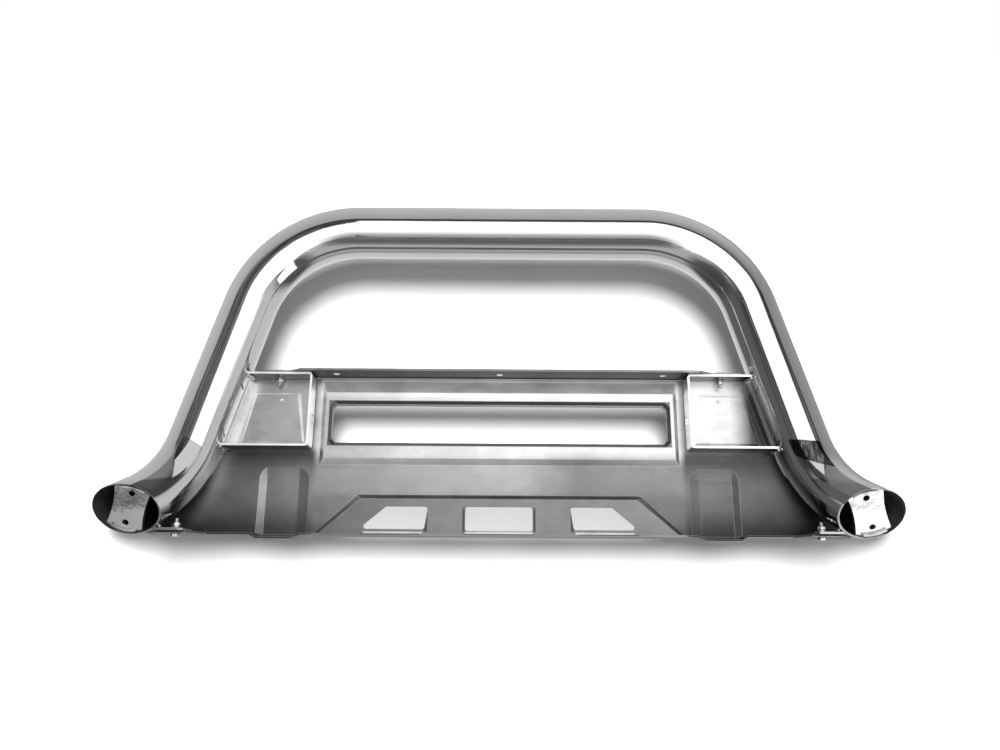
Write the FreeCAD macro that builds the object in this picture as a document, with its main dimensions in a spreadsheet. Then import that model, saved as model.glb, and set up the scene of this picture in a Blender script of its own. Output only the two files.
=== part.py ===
import FreeCAD, Part
import Sketcher
import math
import os

# Front grille guard (bull bar): one bent tube hoop, a formed skid plate with a
# light bar window, folded upper brackets, lower tabs, closed tube ends and the
# bolts that hold the plate to the hoop.
#
# Frame: +X across the vehicle (the right side), +Y forwards, away from the
# radiator, +Z up. X = 0 is the plane of symmetry and Z = 0 the lowest point of
# the skid plate. Every piece is drawn with the plane of the hoop at Y = 0; its
# placement then moves it forwards by hoop_y.

V = FreeCAD.Vector
SIDES = ((1, "right"), (-1, "left"))
FIT_GAP = 0.02        # gap between stacked parts
WELD_GAP = 0.05       # gap between a weld bead and the flat beside it
OVERLAP = 0.5         # how far an added shape starts inside the sheet
SKIM = 0.01           # how far a cut starts outside the sheet

DIMS = [
    # name, size, note
    ("hoop_y", 22.24, "hoop plane ahead of the origin"),
    ("tube_dia", 76.2, "outside diameter of the hoop tube"),
    ("tube_wall", 2.0, "wall of the hoop tube"),
    ("top_height", 456.5, "height of the top tube centreline"),
    ("top_half", 210.0, "half length of the straight top run"),
    ("bend_rad", 165.0, "centreline radius of the upper bends"),
    ("bend_deg", 74.0, "angle of the upper bends"),
    ("leg_len", 210.0, "straight length of each leg"),
    ("foot_rad", 130.0, "centreline radius of the lower bends"),
    ("foot_deg", 52.0, "angle of the lower bends"),
    ("foot_roll", 26.0, "roll of the lower bend plane, rearwards to outwards"),
    ("stub_len", 20.0, "straight stub after the lower bend"),
    ("cut_deg", 38.0, "downward tilt of the mitred tube ends"),
    ("sheet_thk", 3.0, "sheet thickness of plate, brackets and tabs"),
    ("plate_back", 20.0, "rear face of the skid plate, ahead of the hoop plane"),
    ("plate_top", 237.5, "upper face of the top flange"),
    ("plate_floor", 5.0, "lower face of the bottom flange"),
    ("fold_inside", 2.0, "inside bend radius of both plate flanges"),
    ("fold_top", 3.0, "outside bend radius of the top flange"),
    ("fold_low", 4.6, "outside bend radius of the bottom flange"),
    ("flange_reach", 20.0, "how far the top flange comes behind the hoop plane"),
    ("flange_half", 283.0, "half width of the top flange at its rear edge"),
    ("flange_mid", 303.0, "half width of the top flange after the corner cut"),
    ("flange_end", 345.0, "half width of the top flange at its ends"),
    ("flange_step", 7.0, "rear edge of the flange ends, behind the hoop plane"),
    ("lip_reach", 8.0, "how far the bottom flange comes behind the hoop plane"),
    ("lip_half", 398.0, "half width of the narrow part of the bottom flange"),
    ("wing_in", 416.0, "inner edge of the bottom flange wing"),
    ("wing_out", 454.0, "outer edge of the bottom flange wing"),
    ("wing_reach", 36.0, "how far the wing comes behind the hoop plane"),
    ("wing_side", 10.0, "rear end of the wing's outer side, behind the hoop plane"),
    ("wing_corner_in", 8.0, "outer corner of the wing, in from the plate side"),
    ("wing_corner_back", 23.0, "that corner, behind the hoop plane"),
    ("plate_half", 478.0, "half width of the plate at the bottom"),
    ("shoulder_x", 357.2, "half width of the plate at its upper corner"),
    ("shoulder_z", 234.0, "height of the upper corner"),
    ("waist_x", 387.8, "half width of the plate at the waist"),
    ("waist_z", 127.0, "height of the waist"),
    ("nook_x", 393.5, "half width of the plate under the bracket"),
    ("nook_z", 124.0, "height of that point"),
    ("ledge_x", 396.5, "half width of the plate between bracket and lower bend"),
    ("ledge_z", 112.0, "height of that point"),
    ("hip_x", 404.5, "half width of the plate beside the lower bend"),
    ("hip_z", 95.0, "height of that point"),
    ("knee_x", 424.0, "half width of the plate below the lower bend"),
    ("knee_z", 72.0, "height of that point"),
    ("toe_x", 466.0, "half width of the plate above the wing corner"),
    ("toe_z", 45.0, "height of that point"),
    ("toe_low", 28.0, "height where the side turns vertical"),
    ("return_top", 224.5, "upper end of the side returns"),
    ("return_low", 131.2, "lower end of the side returns"),
    ("return_in", 1.0, "rear edge of the side returns, ahead of the hoop plane"),
    ("window_half", 240.5, "half width of the light bar window"),
    ("window_top", 192.5, "top of the light bar window"),
    ("window_low", 138.0, "bottom of the light bar window"),
    ("window_corner", 5.4, "corner cut of the light bar window"),
    ("window_rad", 5.0, "rounding of its corners"),
    ("rim_half", 246.0, "half width of the dished rim round the window"),
    ("rim_top", 199.0, "top of the dished rim"),
    ("rim_low", 133.0, "bottom of the dished rim"),
    ("rim_depth", 5.0, "depth of the dished rim"),
    ("rim_slope", 4.5, "width of the dished rim"),
    ("rim_corner", 7.0, "corner cut of the dished rim"),
    ("pad_half", 257.0, "half width of the raised pad round the window, at its foot"),
    ("pad_top", 230.0, "top of the raised pad, at its foot"),
    ("pad_low", 105.5, "bottom of the raised pad, at its foot"),
    ("pad_half_in", 251.0, "half width of the flat of the raised pad"),
    ("pad_top_in", 211.0, "top of the flat of the raised pad"),
    ("pad_low_in", 115.0, "bottom of the flat of the raised pad"),
    ("pad_rise", 5.0, "height of the raised pad"),
    ("rib_in", 269.0, "inner shoulder of the vertical ribs"),
    ("rib_in_flat", 284.0, "inner edge of the rib floor"),
    ("rib_out_flat", 330.0, "outer edge of the rib floor"),
    ("rib_out", 339.0, "outer shoulder of the vertical ribs"),
    ("rib_depth", 5.0, "depth of the vertical ribs"),
    ("rib_top", 107.0, "top of the vertical ribs"),
    ("rib_ramp", 18.0, "length of the ramp at the top of the ribs"),
    ("trap_top_half", 201.0, "half width of the lower recess at its top"),
    ("trap_top", 65.0, "top of the lower recess"),
    ("trap_low_half", 261.0, "half width of the lower recess at its bottom"),
    ("trap_depth", 4.5, "depth of the lower recess"),
    ("trap_slope", 5.0, "width of the slope round the lower recess"),
    ("cut_top", 48.0, "top of the three lower openings"),
    ("cut_low", 14.0, "bottom of the middle opening"),
    ("cut_mid_half", 47.5, "half width of the middle opening"),
    ("cut_in_top", 100.0, "inner edge of the side openings, top"),
    ("cut_in_low", 105.0, "inner edge of the side openings, bottom"),
    ("cut_out_top", 159.5, "outer edge of the side openings, top"),
    ("cut_out_low", 197.0, "outer edge of the side openings, bottom"),
    ("cut_side_low", 16.5, "bottom of the side openings"),
    ("cut_rad", 4.0, "corner radius of the lower openings"),
    ("panel_top", 211.0, "top of the raised panel ahead of each bracket"),
    ("panel_low", 136.0, "bottom of that panel"),
    ("panel_in_top", 289.5, "inner edge of that panel, top"),
    ("panel_in_low", 279.0, "inner edge of that panel, bottom"),
    ("panel_out_top", 355.5, "outer edge of that panel, top"),
    ("panel_out_low", 371.5, "outer edge of that panel, bottom"),
    ("panel_depth", 3.0, "depth of that panel"),
    ("panel_slope", 3.5, "width of the slope round that panel"),
    ("dot_x", 316.0, "small drain hole ahead of each bracket, across"),
    ("dot_z", 200.0, "small drain hole, height"),
    ("dot_dia", 4.5, "small drain hole diameter"),
    ("flange_hole_dia", 8.5, "three clearance holes in the top flange"),
    ("flange_hole_pitch", 235.0, "pitch of the three flange holes"),
    ("flange_hole_back", 0.0, "line of the flange holes behind the hoop plane"),
    ("screw_dia", 6.0, "fastener thread diameter"),
    ("screw_hole", 6.6, "clearance hole for the fasteners"),
    ("screw_len", 20.0, "fastener length under the head"),
    ("screw_point", 0.7, "chamfer at the end of the thread"),
    ("hex_af", 10.0, "hexagon across flats"),
    ("head_thk", 4.0, "bolt head thickness"),
    ("nut_thk", 5.0, "nut thickness"),
    ("nut_play", 0.1, "nut bore over the thread diameter"),
    ("washer_play", 0.4, "washer bore over the thread diameter"),
    ("washer_dia", 12.0, "plain washer outside diameter"),
    ("washer_thk", 1.6, "plain washer thickness"),
    ("spring_dia", 11.0, "spring washer outside diameter"),
    ("spring_thk", 1.6, "spring washer thickness"),
    ("up_x", 319.0, "upper fasteners, across"),
    ("up_y", 11.0, "upper fasteners, ahead of the hoop plane"),
    ("low_x", 433.0, "lower fasteners, across"),
    ("low_y", 22.0, "lower fasteners, behind the hoop plane"),
    ("bracket_x", 267.5, "inner face of the bracket wall"),
    ("bracket_reach", 10.0, "bracket rear edge behind the hoop plane"),
    ("bracket_front", 2.3, "bracket front edge behind the skid plate"),
    ("bracket_low", 127.5, "underside of the bracket"),
    ("bracket_gap", 0.4, "gap between bracket and tube, filled by the weld"),
    ("bracket_bend", 2.0, "inside bend radius of the bracket"),
    ("bar_slot_z", 169.8, "height of the light bar slot in the bracket wall"),
    ("bar_slot_y", 9.5, "light bar slot, ahead of the hoop plane"),
    ("bar_slot_dia", 8.5, "light bar slot width"),
    ("bar_slot_len", 14.0, "light bar slot overall length"),
    ("tab_in", 418.0, "inner edge of the lower tab"),
    ("tab_reach", 42.0, "tab rear edge behind the hoop plane"),
    ("tab_front", 4.0, "tab front edge behind the hoop plane"),
    ("tab_out", 462.0, "outer edge of the lower tab"),
    ("tab_chamfer", 5.0, "inner rear corner cut of the lower tab"),
    ("tab_cut_wide", 6.0, "outer rear corner cut of the lower tab, across"),
    ("tab_cut_deep", 8.0, "outer rear corner cut of the lower tab, forwards"),
    ("tab_gap", 0.2, "gap between tab and tube"),
    ("end_depth", 3.0, "end plate set back from the tube mouth"),
    ("end_roll", 15.0, "roll of the end plate in the tube mouth, top inwards"),
    ("end_thk", 8.0, "end plate thickness"),
    ("end_half_high", 36.0, "half height of the end plate"),
    ("end_half_wide", 24.5, "half width of the end plate at its tips"),
    ("end_half_waist", 20.3, "half width of the end plate at its waist"),
    ("end_hole_half", 23.2, "end plate holes from the centre"),
    ("end_hole_dia", 8.4, "end plate tapped hole diameter"),
    ("end_gap", 0.1, "gap between end plate tips and tube bore"),
    ("bead", 2.2, "weld bead radius"),
]


# ---------------------------------------------------------------- driven sizes
class Size:
    """A size with its value and the expression that binds it to the sheet."""

    def __init__(self, value, text=None):
        self.value = float(value)
        self.text = text or "(%r)" % self.value

    def __add__(self, other):
        other = size(other)
        return Size(self.value + other.value, "(%s + %s)" % (self.text, other.text))

    def __sub__(self, other):
        other = size(other)
        return Size(self.value - other.value, "(%s - %s)" % (self.text, other.text))

    def __mul__(self, other):
        other = size(other)
        return Size(self.value * other.value, "(%s * %s)" % (self.text, other.text))

    def __truediv__(self, other):
        other = size(other)
        return Size(self.value / other.value, "(%s / %s)" % (self.text, other.text))

    def __neg__(self):
        return Size(-self.value, "(0 - %s)" % self.text)


def size(number):
    return number if isinstance(number, Size) else Size(number)


def sind(angle):
    return Size(math.sin(math.radians(angle.value)), "sin(%s * 1 deg)" % angle.text)


def cosd(angle):
    return Size(math.cos(math.radians(angle.value)), "cos(%s * 1 deg)" % angle.text)


class Dims:
    """Holds every driving dimension as a Size, under its alias."""


doc = FreeCAD.newDocument("grille_guard")
sheet = doc.addObject("Spreadsheet::Sheet", "dims")
dims = Dims()
for row, (name, number, note) in enumerate(DIMS, start=1):
    sheet.set("A%d" % row, name)
    sheet.set("B%d" % row, repr(number))
    sheet.set("C%d" % row, note)
    sheet.setAlias("B%d" % row, name)
    setattr(dims, name, Size(number, "dims.%s" % name))
doc.recompute()


def bind(thing, prop, amount):
    amount = size(amount)
    setattr(thing, prop, amount.value)
    thing.setExpression(prop, amount.text)


# ---------------------------------------------------------------- frames
def frame_z(origin, z_dir, x_dir):
    """Placement with its Z along z_dir and its X as near x_dir as it can be."""
    z = V(z_dir).normalize()
    x = (x_dir - z * x_dir.dot(z)).normalize()
    return FreeCAD.Placement(origin, FreeCAD.Rotation(x, z.cross(x), z, "ZXY"))


def to_side(vector, side):
    return V(vector.x * side, vector.y, vector.z)


# ---------------------------------------------------------------- sketches
def new_body(name):
    body = doc.addObject("PartDesign::Body", name)
    body.Label = name
    body.AllowCompound = True
    return body


def plane_of(body, role):
    for feature in body.Origin.OriginFeatures:
        if feature.Role == role:
            return feature
    raise ValueError(role)


def sketch(body, name, role, offset=None, frame=None):
    """Sketch on an origin plane, at an offset along its normal or in a frame.

    The normals are +Z for XY, -Y for XZ and +X for YZ.
    """
    sk = body.newObject("Sketcher::SketchObject", name)
    sk.AttachmentSupport = [(plane_of(body, role), "")]
    sk.MapMode = "FlatFace"
    if frame is not None:
        sk.AttachmentOffset = frame
    if offset is not None:
        offset = size(offset)
        sk.AttachmentOffset = FreeCAD.Placement(V(0, 0, offset.value), FreeCAD.Rotation())
        sk.setExpression("AttachmentOffset.Base.z", offset.text)
    return sk


def constrain(sk, kind, where, amount):
    """Add a constraint of the given kind, driven by a Size."""
    index = sk.addConstraint(Sketcher.Constraint(kind, *where, amount.value))
    sk.setExpression("Constraints[%d]" % index, amount.text)


def pin(sk, item, point, x, y):
    """Fix a point of an item (1 start, 2 end, 3 centre) from the sketch origin."""
    for kind, amount, axis in (("DistanceX", size(x), -2), ("DistanceY", size(y), -1)):
        if abs(amount.value) < 1e-9:
            sk.addConstraint(Sketcher.Constraint("PointOnObject", item, point, axis))
        else:
            constrain(sk, kind, (-1, 1, item, point), amount)


def line(sk, start_x, start_y, end_x, end_y):
    start = V(size(start_x).value, size(start_y).value, 0)
    end = V(size(end_x).value, size(end_y).value, 0)
    return sk.addGeometry(Part.LineSegment(start, end), False)


def arc(sk, x, y, radius, start_deg, end_deg):
    full = Part.Circle(V(size(x).value, size(y).value, 0), V(0, 0, 1), radius.value)
    part = Part.ArcOfCircle(full, math.radians(start_deg), math.radians(end_deg))
    return sk.addGeometry(part, False)


def join(sk, first, first_point, second, second_point):
    sk.addConstraint(
        Sketcher.Constraint("Coincident", first, first_point, second, second_point))


def close_loop(sk, items):
    for item, following in zip(items, items[1:] + items[:1]):
        join(sk, item, 2, following, 1)


def poly(sk, points):
    lines = [line(sk, *start, *end) for start, end in zip(points, points[1:] + points[:1])]
    close_loop(sk, lines)
    for item, (x, y) in zip(lines, points):
        pin(sk, item, 1, x, y)


def circle(sk, x, y, dia):
    x, y, dia = size(x), size(y), size(dia)
    ring = Part.Circle(V(x.value, y.value, 0), V(0, 0, 1), dia.value / 2)
    item = sk.addGeometry(ring, False)
    pin(sk, item, 3, x, y)
    constrain(sk, "Diameter", (item,), dia)


def hexagon(sk, x, y, across_flats):
    radius = across_flats / math.sqrt(3)
    angles = [math.radians(60 * k + 30) for k in range(6)]
    poly(sk, [(x + radius * math.cos(a), y + radius * math.sin(a)) for a in angles])


def upright_slot(sk, x, y, width, length):
    """Slot with its length along the sketch's Y."""
    radius = width / 2
    half = (length - width) / 2
    upper = arc(sk, x, y + half, radius, 0, 180)
    left = line(sk, x - radius, y + half, x - radius, y - half)
    lower = arc(sk, x, y - half, radius, 180, 360)
    right = line(sk, x + radius, y - half, x + radius, y + half)
    close_loop(sk, [upper, left, lower, right])
    pin(sk, left, 1, x - radius, y + half)
    pin(sk, left, 2, x - radius, y - half)
    pin(sk, right, 1, x + radius, y - half)
    pin(sk, right, 2, x + radius, y + half)
    for item, centre in ((upper, y + half), (lower, y - half)):
        constrain(sk, "DistanceY", (-1, 1, item, 3), centre)


def hourglass(sk, half_high, half_wide, half_waist):
    """Straight ends and concave sides, each side one arc."""
    bulge = half_wide - half_waist
    radius = (half_high * half_high + bulge * bulge) / (bulge * 2)
    half_angle = math.degrees(math.asin(half_high.value / radius.value))
    centre = half_waist + radius
    upper = line(sk, -half_wide, half_high, half_wide, half_high)
    right = arc(sk, centre, 0, radius, 180 - half_angle, 180 + half_angle)
    lower = line(sk, half_wide, -half_high, -half_wide, -half_high)
    left = arc(sk, -centre, 0, radius, -half_angle, half_angle)
    close_loop(sk, [upper, right, lower, left])
    pin(sk, upper, 1, -half_wide, half_high)
    pin(sk, upper, 2, half_wide, half_high)
    pin(sk, lower, 1, half_wide, -half_high)
    pin(sk, lower, 2, -half_wide, -half_high)
    for item in (right, left):
        constrain(sk, "Radius", (item,), radius)


# ---------------------------------------------------------------- outlines
def both_sides(right):
    """Close the right half of an outline with its mirror image."""
    return right + [(-x, y) for x, y in reversed(right)]


def on_side(points, side):
    return [(x * side, y) for x, y in points]


def trapezoid(low_half, top_half, low, top):
    return [(-low_half, low), (low_half, low), (top_half, top), (-top_half, top)]


def chamfered_rect(half, low, top, corner):
    return [(-half, low + corner), (-half + corner, low),
            (half - corner, low), (half, low + corner),
            (half, top - corner), (half - corner, top),
            (-half + corner, top), (-half, top - corner)]


# ---------------------------------------------------------------- features
def extrude(body, kind, name, sk, length, reverse):
    feature = body.newObject(kind, name)
    feature.Profile = sk
    bind(feature, "Length", length)
    feature.Reversed = reverse
    body.Tip = feature
    return feature


def pad(body, name, sk, length, reverse=False):
    """Grow along the sketch normal, or against it if reversed."""
    return extrude(body, "PartDesign::Pad", name, sk, length, reverse)


def pocket(body, name, sk, length, reverse=False):
    """Cut against the sketch normal, or along it if reversed."""
    return extrude(body, "PartDesign::Pocket", name, sk, length, reverse)


def drill(body, name, role, offset, depth, holes):
    """Cut round holes, given as (x, y, diameter) in the sketch."""
    sk = sketch(body, name + "_outline", role, offset)
    for x, y, dia in holes:
        circle(sk, x, y, dia)
    pocket(body, name, sk, depth)


def sweep(body, name, ring, path, edges):
    pipe = body.newObject("PartDesign::AdditivePipe", name)
    pipe.Profile = ring
    pipe.Spine = (path, edges)
    body.Tip = pipe
    return pipe


def loft(body, name, sections, cut=False):
    kind = "PartDesign::SubtractiveLoft" if cut else "PartDesign::AdditiveLoft"
    feature = body.newObject(kind, name)
    feature.Profile = sections[0]
    feature.Sections = [(section, [""]) for section in sections[1:]]
    feature.Ruled = True
    body.Tip = feature


def cylinder(body, kind, name, frame, radius, height):
    feature = body.newObject(kind, name)
    feature.AttachmentSupport = [(plane_of(body, "XY_Plane"), "")]
    feature.MapMode = "FlatFace"
    feature.AttachmentOffset = frame
    bind(feature, "Radius", radius)
    bind(feature, "Height", height)
    body.Tip = feature


def tube_cope(body, point, direction, side, lead, gap, length):
    """Cut away the tube's space, from lead before the given centreline point."""
    direction = to_side(direction, side)
    frame = frame_z(to_side(point, side) - direction * lead, direction, V(0, 1, 0))
    cylinder(body, "PartDesign::SubtractiveCylinder", "tube_cope", frame,
             dims.tube_dia / 2 + gap, length)


def fillet(body, name, test, amount, chamfer=False):
    """Round or chamfer the edges of the body so far that pass the test."""
    doc.recompute()
    names = ["Edge%d" % i for i, edge in enumerate(body.Shape.Edges, start=1) if test(edge)]
    base = body.Tip
    kind = "PartDesign::Chamfer" if chamfer else "PartDesign::Fillet"
    feature = body.newObject(kind, name)
    feature.Base = (base, names)
    bind(feature, "Size" if chamfer else "Radius", amount)
    body.Tip = feature


def runs_along(edge, axis):
    if not edge.Curve.TypeId.endswith("Line"):
        return False
    direction = (edge.Vertexes[-1].Point - edge.Vertexes[0].Point).normalize()
    return abs(abs(direction.dot(axis)) - 1) < 1e-4


def is_circle(edge):
    return edge.Curve.TypeId.endswith("Circle")


def y_edges_at(points, tolerance=0.6, longest=math.inf):
    """Test for edges that run along Y at any of the (x, z) places."""
    places = [(size(x).value, size(z).value) for x, z in points]

    def test(edge):
        centre = edge.CenterOfMass
        return runs_along(edge, V(0, 1, 0)) and edge.Length < longest and any(
            abs(centre.x - x) < tolerance and abs(centre.z - z) < tolerance
            for x, z in places)
    return test


def x_edges_at(y, heights, shortest=0):
    """Test for edges that run along X at the given Y and any of the heights."""
    def test(edge):
        centre = edge.CenterOfMass
        return (runs_along(edge, V(1, 0, 0)) and abs(centre.y - y.value) < 1e-3
                and any(abs(centre.z - z.value) < 1e-3 for z in heights)
                and edge.Length > shortest)
    return test


# ---------------------------------------------------------------- hoop centreline
# Right-hand half: top run, upper bend, leg, lower bend ("foot"), stub, mouth.
leg_top_x = dims.top_half + dims.bend_rad * sind(dims.bend_deg)
leg_top_z = dims.top_height - dims.bend_rad + dims.bend_rad * cosd(dims.bend_deg)
leg_end_x = leg_top_x + dims.leg_len * cosd(dims.bend_deg)
leg_end_z = leg_top_z - dims.leg_len * sind(dims.bend_deg)
leg_top = V(leg_top_x.value, 0, leg_top_z.value)
leg_end = V(leg_end_x.value, 0, leg_end_z.value)

leg_cos, leg_sin = cosd(dims.bend_deg).value, sind(dims.bend_deg).value
leg_dir = V(leg_cos, 0, -leg_sin)        # down the leg
outward = V(leg_sin, 0, leg_cos)         # square to the leg
# the side towards which the foot turns
foot_side = outward * sind(dims.foot_roll).value + V(0, -1, 0) * cosd(dims.foot_roll).value
foot_along = dims.foot_rad * sind(dims.foot_deg)
foot_across = dims.foot_rad - dims.foot_rad * cosd(dims.foot_deg)
foot_end = leg_end + leg_dir * foot_along.value + foot_side * foot_across.value
stub_dir = leg_dir * cosd(dims.foot_deg).value + foot_side * sind(dims.foot_deg).value
mouth = foot_end + stub_dir * dims.stub_len.value
mouth_normal = V(0, -cosd(dims.cut_deg).value, -sind(dims.cut_deg).value)


def leg_x(height):
    """X of the leg's centreline at a height."""
    return leg_top_x + (leg_top_z - height) * cosd(dims.bend_deg) / sind(dims.bend_deg)


# ---------------------------------------------------------------- hoop tube
MOUTH_STOCK = 30      # extra stub length that the mitre cuts off


def tube_ring(sk, y):
    circle(sk, 0, y, dims.tube_dia)
    circle(sk, 0, y, dims.tube_dia - dims.tube_wall * 2)


def build_hoop():
    body = new_body("hoop_tube")

    path = sketch(body, "tube_path", "XZ_Plane")
    run = line(path, 0, dims.top_height, dims.top_half, dims.top_height)
    bend = arc(path, dims.top_half, dims.top_height - dims.bend_rad, dims.bend_rad,
               90 - dims.bend_deg.value, 90)
    leg = line(path, leg_top_x, leg_top_z, leg_end_x, leg_end_z)
    join(path, run, 2, bend, 2)
    join(path, bend, 1, leg, 1)
    pin(path, run, 1, 0, dims.top_height)
    pin(path, run, 2, dims.top_half, dims.top_height)
    pin(path, leg, 1, leg_top_x, leg_top_z)
    pin(path, leg, 2, leg_end_x, leg_end_z)
    constrain(path, "Radius", (bend,), dims.bend_rad)
    ring = sketch(body, "tube_ring", "YZ_Plane")
    tube_ring(ring, dims.top_height)
    upper = sweep(body, "tube_upper", ring, path, ["Edge1", "Edge2", "Edge3"])

    turn = FreeCAD.Rotation(leg_dir, foot_side, leg_dir.cross(foot_side), "ZXY")
    path = sketch(body, "foot_path", "XY_Plane", frame=FreeCAD.Placement(leg_end, turn))
    bend = arc(path, 0, dims.foot_rad, dims.foot_rad, -90, -90 + dims.foot_deg.value)
    stub_x = foot_along + (dims.stub_len + MOUTH_STOCK) * cosd(dims.foot_deg)
    stub_y = foot_across + (dims.stub_len + MOUTH_STOCK) * sind(dims.foot_deg)
    stub = line(path, foot_along, foot_across, stub_x, stub_y)
    join(path, bend, 2, stub, 1)
    pin(path, bend, 1, 0, 0)
    pin(path, stub, 1, foot_along, foot_across)
    pin(path, stub, 2, stub_x, stub_y)
    constrain(path, "Radius", (bend,), dims.foot_rad)
    ring = sketch(body, "foot_ring", "XY_Plane", frame=frame_z(leg_end, leg_dir, foot_side))
    tube_ring(ring, 0)
    foot = sweep(body, "tube_foot", ring, path, ["Edge1", "Edge2"])

    sk = sketch(body, "mouth_cut", "XY_Plane", frame=frame_z(mouth, mouth_normal, V(1, 0, 0)))
    half = dims.tube_dia
    poly(sk, trapezoid(half, half, -half, half))
    mitre = pocket(body, "tube_mouth", sk, half, reverse=True)

    mirrored = body.newObject("PartDesign::Mirrored", "tube_mirror")
    mirrored.Originals = [upper, foot, mitre]
    mirrored.MirrorPlane = (plane_of(body, "YZ_Plane"), [""])
    body.Tip = mirrored


# ---------------------------------------------------------------- skid plate
thk, back = dims.sheet_thk, dims.plate_back
front = back + thk
top, floor = dims.plate_top, dims.plate_floor
RETURN_SLANT = 1.04   # width of a side return along X, per sheet thickness


def plate_sheet(plate):
    """Flat face, both flanges and the side returns."""
    sk = sketch(plate, "face_outline", "XZ_Plane", -back)
    poly(sk, both_sides([
        (dims.flange_end, top),
        (dims.shoulder_x, dims.shoulder_z),
        (dims.waist_x, dims.waist_z),
        (dims.nook_x, dims.nook_z),
        (dims.ledge_x, dims.ledge_z),
        (dims.hip_x, dims.hip_z),
        (dims.knee_x, dims.knee_z),
        (dims.toe_x, dims.toe_z),
        (dims.plate_half, dims.toe_low),
        (dims.plate_half, floor)]))
    pad(plate, "face", sk, thk, reverse=True)

    # top flange, with cut corners
    sk = sketch(plate, "top_outline", "XY_Plane", top - thk)
    poly(sk, both_sides([
        (dims.flange_end, front),
        (dims.flange_end, -dims.flange_step),
        (dims.flange_mid, -dims.flange_step),
        (dims.flange_half, -dims.flange_reach)]))
    pad(plate, "top_flange", sk, thk)

    # bottom flange, deeper at both ends where it reaches under the tube
    sk = sketch(plate, "lip_outline", "XY_Plane", floor)
    poly(sk, both_sides([
        (dims.plate_half, front),
        (dims.plate_half, -dims.wing_side),
        (dims.plate_half - dims.wing_corner_in, -dims.wing_corner_back),
        (dims.wing_out, -dims.wing_reach),
        (dims.wing_in, -dims.wing_reach),
        (dims.lip_half, -dims.lip_reach)]))
    pad(plate, "bottom_flange", sk, thk)

    # returns along both legs, on the edge from shoulder to waist
    def edge_x(height):
        return (dims.shoulder_x + (dims.waist_x - dims.shoulder_x)
                * (dims.shoulder_z - height) / (dims.shoulder_z - dims.waist_z))

    upper_x, lower_x = edge_x(dims.return_top), edge_x(dims.return_low)
    width = thk * RETURN_SLANT
    for side, side_name in SIDES:
        sk = sketch(plate, side_name + "_return_outline", "XZ_Plane", -(back + OVERLAP))
        poly(sk, on_side([
            (upper_x, dims.return_top), (lower_x, dims.return_low),
            (lower_x - width, dims.return_low), (upper_x - width, dims.return_top)], side))
        pad(plate, side_name + "_return", sk, back - dims.return_in + OVERLAP)


def plate_folds(plate):
    """Bend radii inside and outside the folds of both flanges."""
    fillet(plate, "bend_inside", x_edges_at(back, (top - thk, floor + thk), shortest=300),
           dims.fold_inside)
    fillet(plate, "bend_outside_upper", x_edges_at(front, (top,)), dims.fold_top)
    fillet(plate, "bend_outside_lower", x_edges_at(front, (floor,)), dims.fold_low)


def press(plate, name, stem, added, removed):
    """Press a shape into the sheet: add a loft, then hollow it from the other side.

    Both lofts are (foot Y, foot outline, crown Y, crown outline).
    """
    for loft_table, sketch_end, loft_end in ((added, "", ""), (removed, "_cut", "_hollow")):
        foot_y, foot, crown_y, crown = loft_table
        sections = []
        for part, y, outline in (("_foot", foot_y, foot), ("_crown", crown_y, crown)):
            sk = sketch(plate, stem + part + sketch_end, "XZ_Plane", -y)
            poly(sk, outline)
            sections.append(sk)
        loft(plate, name + loft_end, sections, cut=bool(loft_end))


def press_window_pad(plate):
    """Raised pad round the window, pressed rearwards."""
    foot, foot_low, foot_top = dims.pad_half, dims.pad_low, dims.pad_top
    flat, flat_low, flat_top = dims.pad_half_in, dims.pad_low_in, dims.pad_top_in
    # the hollow is inset by 1 at sides and bottom, by 3 and 1.5 at the top
    press(plate, "window_pad", "pad",
          (back + OVERLAP, trapezoid(foot, foot, foot_low, foot_top),
           back - dims.pad_rise, trapezoid(flat, flat, flat_low, flat_top)),
          (front + SKIM, trapezoid(foot - 1, foot - 1, foot_low + 1, foot_top - 3),
           front - dims.pad_rise,
           trapezoid(flat - 1, flat - 1, flat_low + 1, flat_top - 1.5)))


def press_window_rim(plate):
    """Dished rim within the pad, pressed forwards again."""
    def outline(inset, corner):
        return chamfered_rect(dims.rim_half - inset, dims.rim_low + inset,
                              dims.rim_top - inset, corner)

    slope, corner = dims.rim_slope, dims.rim_corner
    pad_front, pad_back = front - dims.pad_rise, back - dims.pad_rise
    # the outside is 1 larger all round than the hollow
    press(plate, "window_rim", "rim",
          (pad_front - OVERLAP, outline(-1, corner),
           pad_front + dims.rim_depth, outline(slope - 1, corner - 1)),
          (pad_back - SKIM, outline(0, corner),
           pad_back + dims.rim_depth, outline(slope, corner - 1)))


def press_lower_recess(plate):
    """Lower recess, open to the rear: the sheet is pressed forwards."""
    def outline(inset_sides, low, inset_top):
        return trapezoid(dims.trap_low_half - inset_sides, dims.trap_top_half - inset_sides,
                         low, dims.trap_top - inset_top)

    slope = dims.trap_slope
    wall = 1.2        # inset of the hollow
    press(plate, "lower_recess", "trap",
          (front - OVERLAP, outline(0, floor, 0),
           front + dims.trap_depth, outline(slope, floor, slope)),
          (back - SKIM, outline(wall, floor + thk, wall),
           back + dims.trap_depth, outline(slope + wall, floor + thk, slope + wall)))


def rib_outer(depth):
    """Section (y, z) of a rib's outside, down the face and under the flange."""
    face, under = front - 0.02 + depth, floor + 0.02 - depth
    rear = -dims.lip_reach + 0.02
    return [(front - 1.5, dims.rib_top + 1), (face, dims.rib_top - dims.rib_ramp),
            (face, floor + 2 - depth * 0.4), (front - 2 + depth * 0.4, under),
            (rear, under), (rear, floor + 1.5), (front - 1.5, floor + 1.5)]


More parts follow.
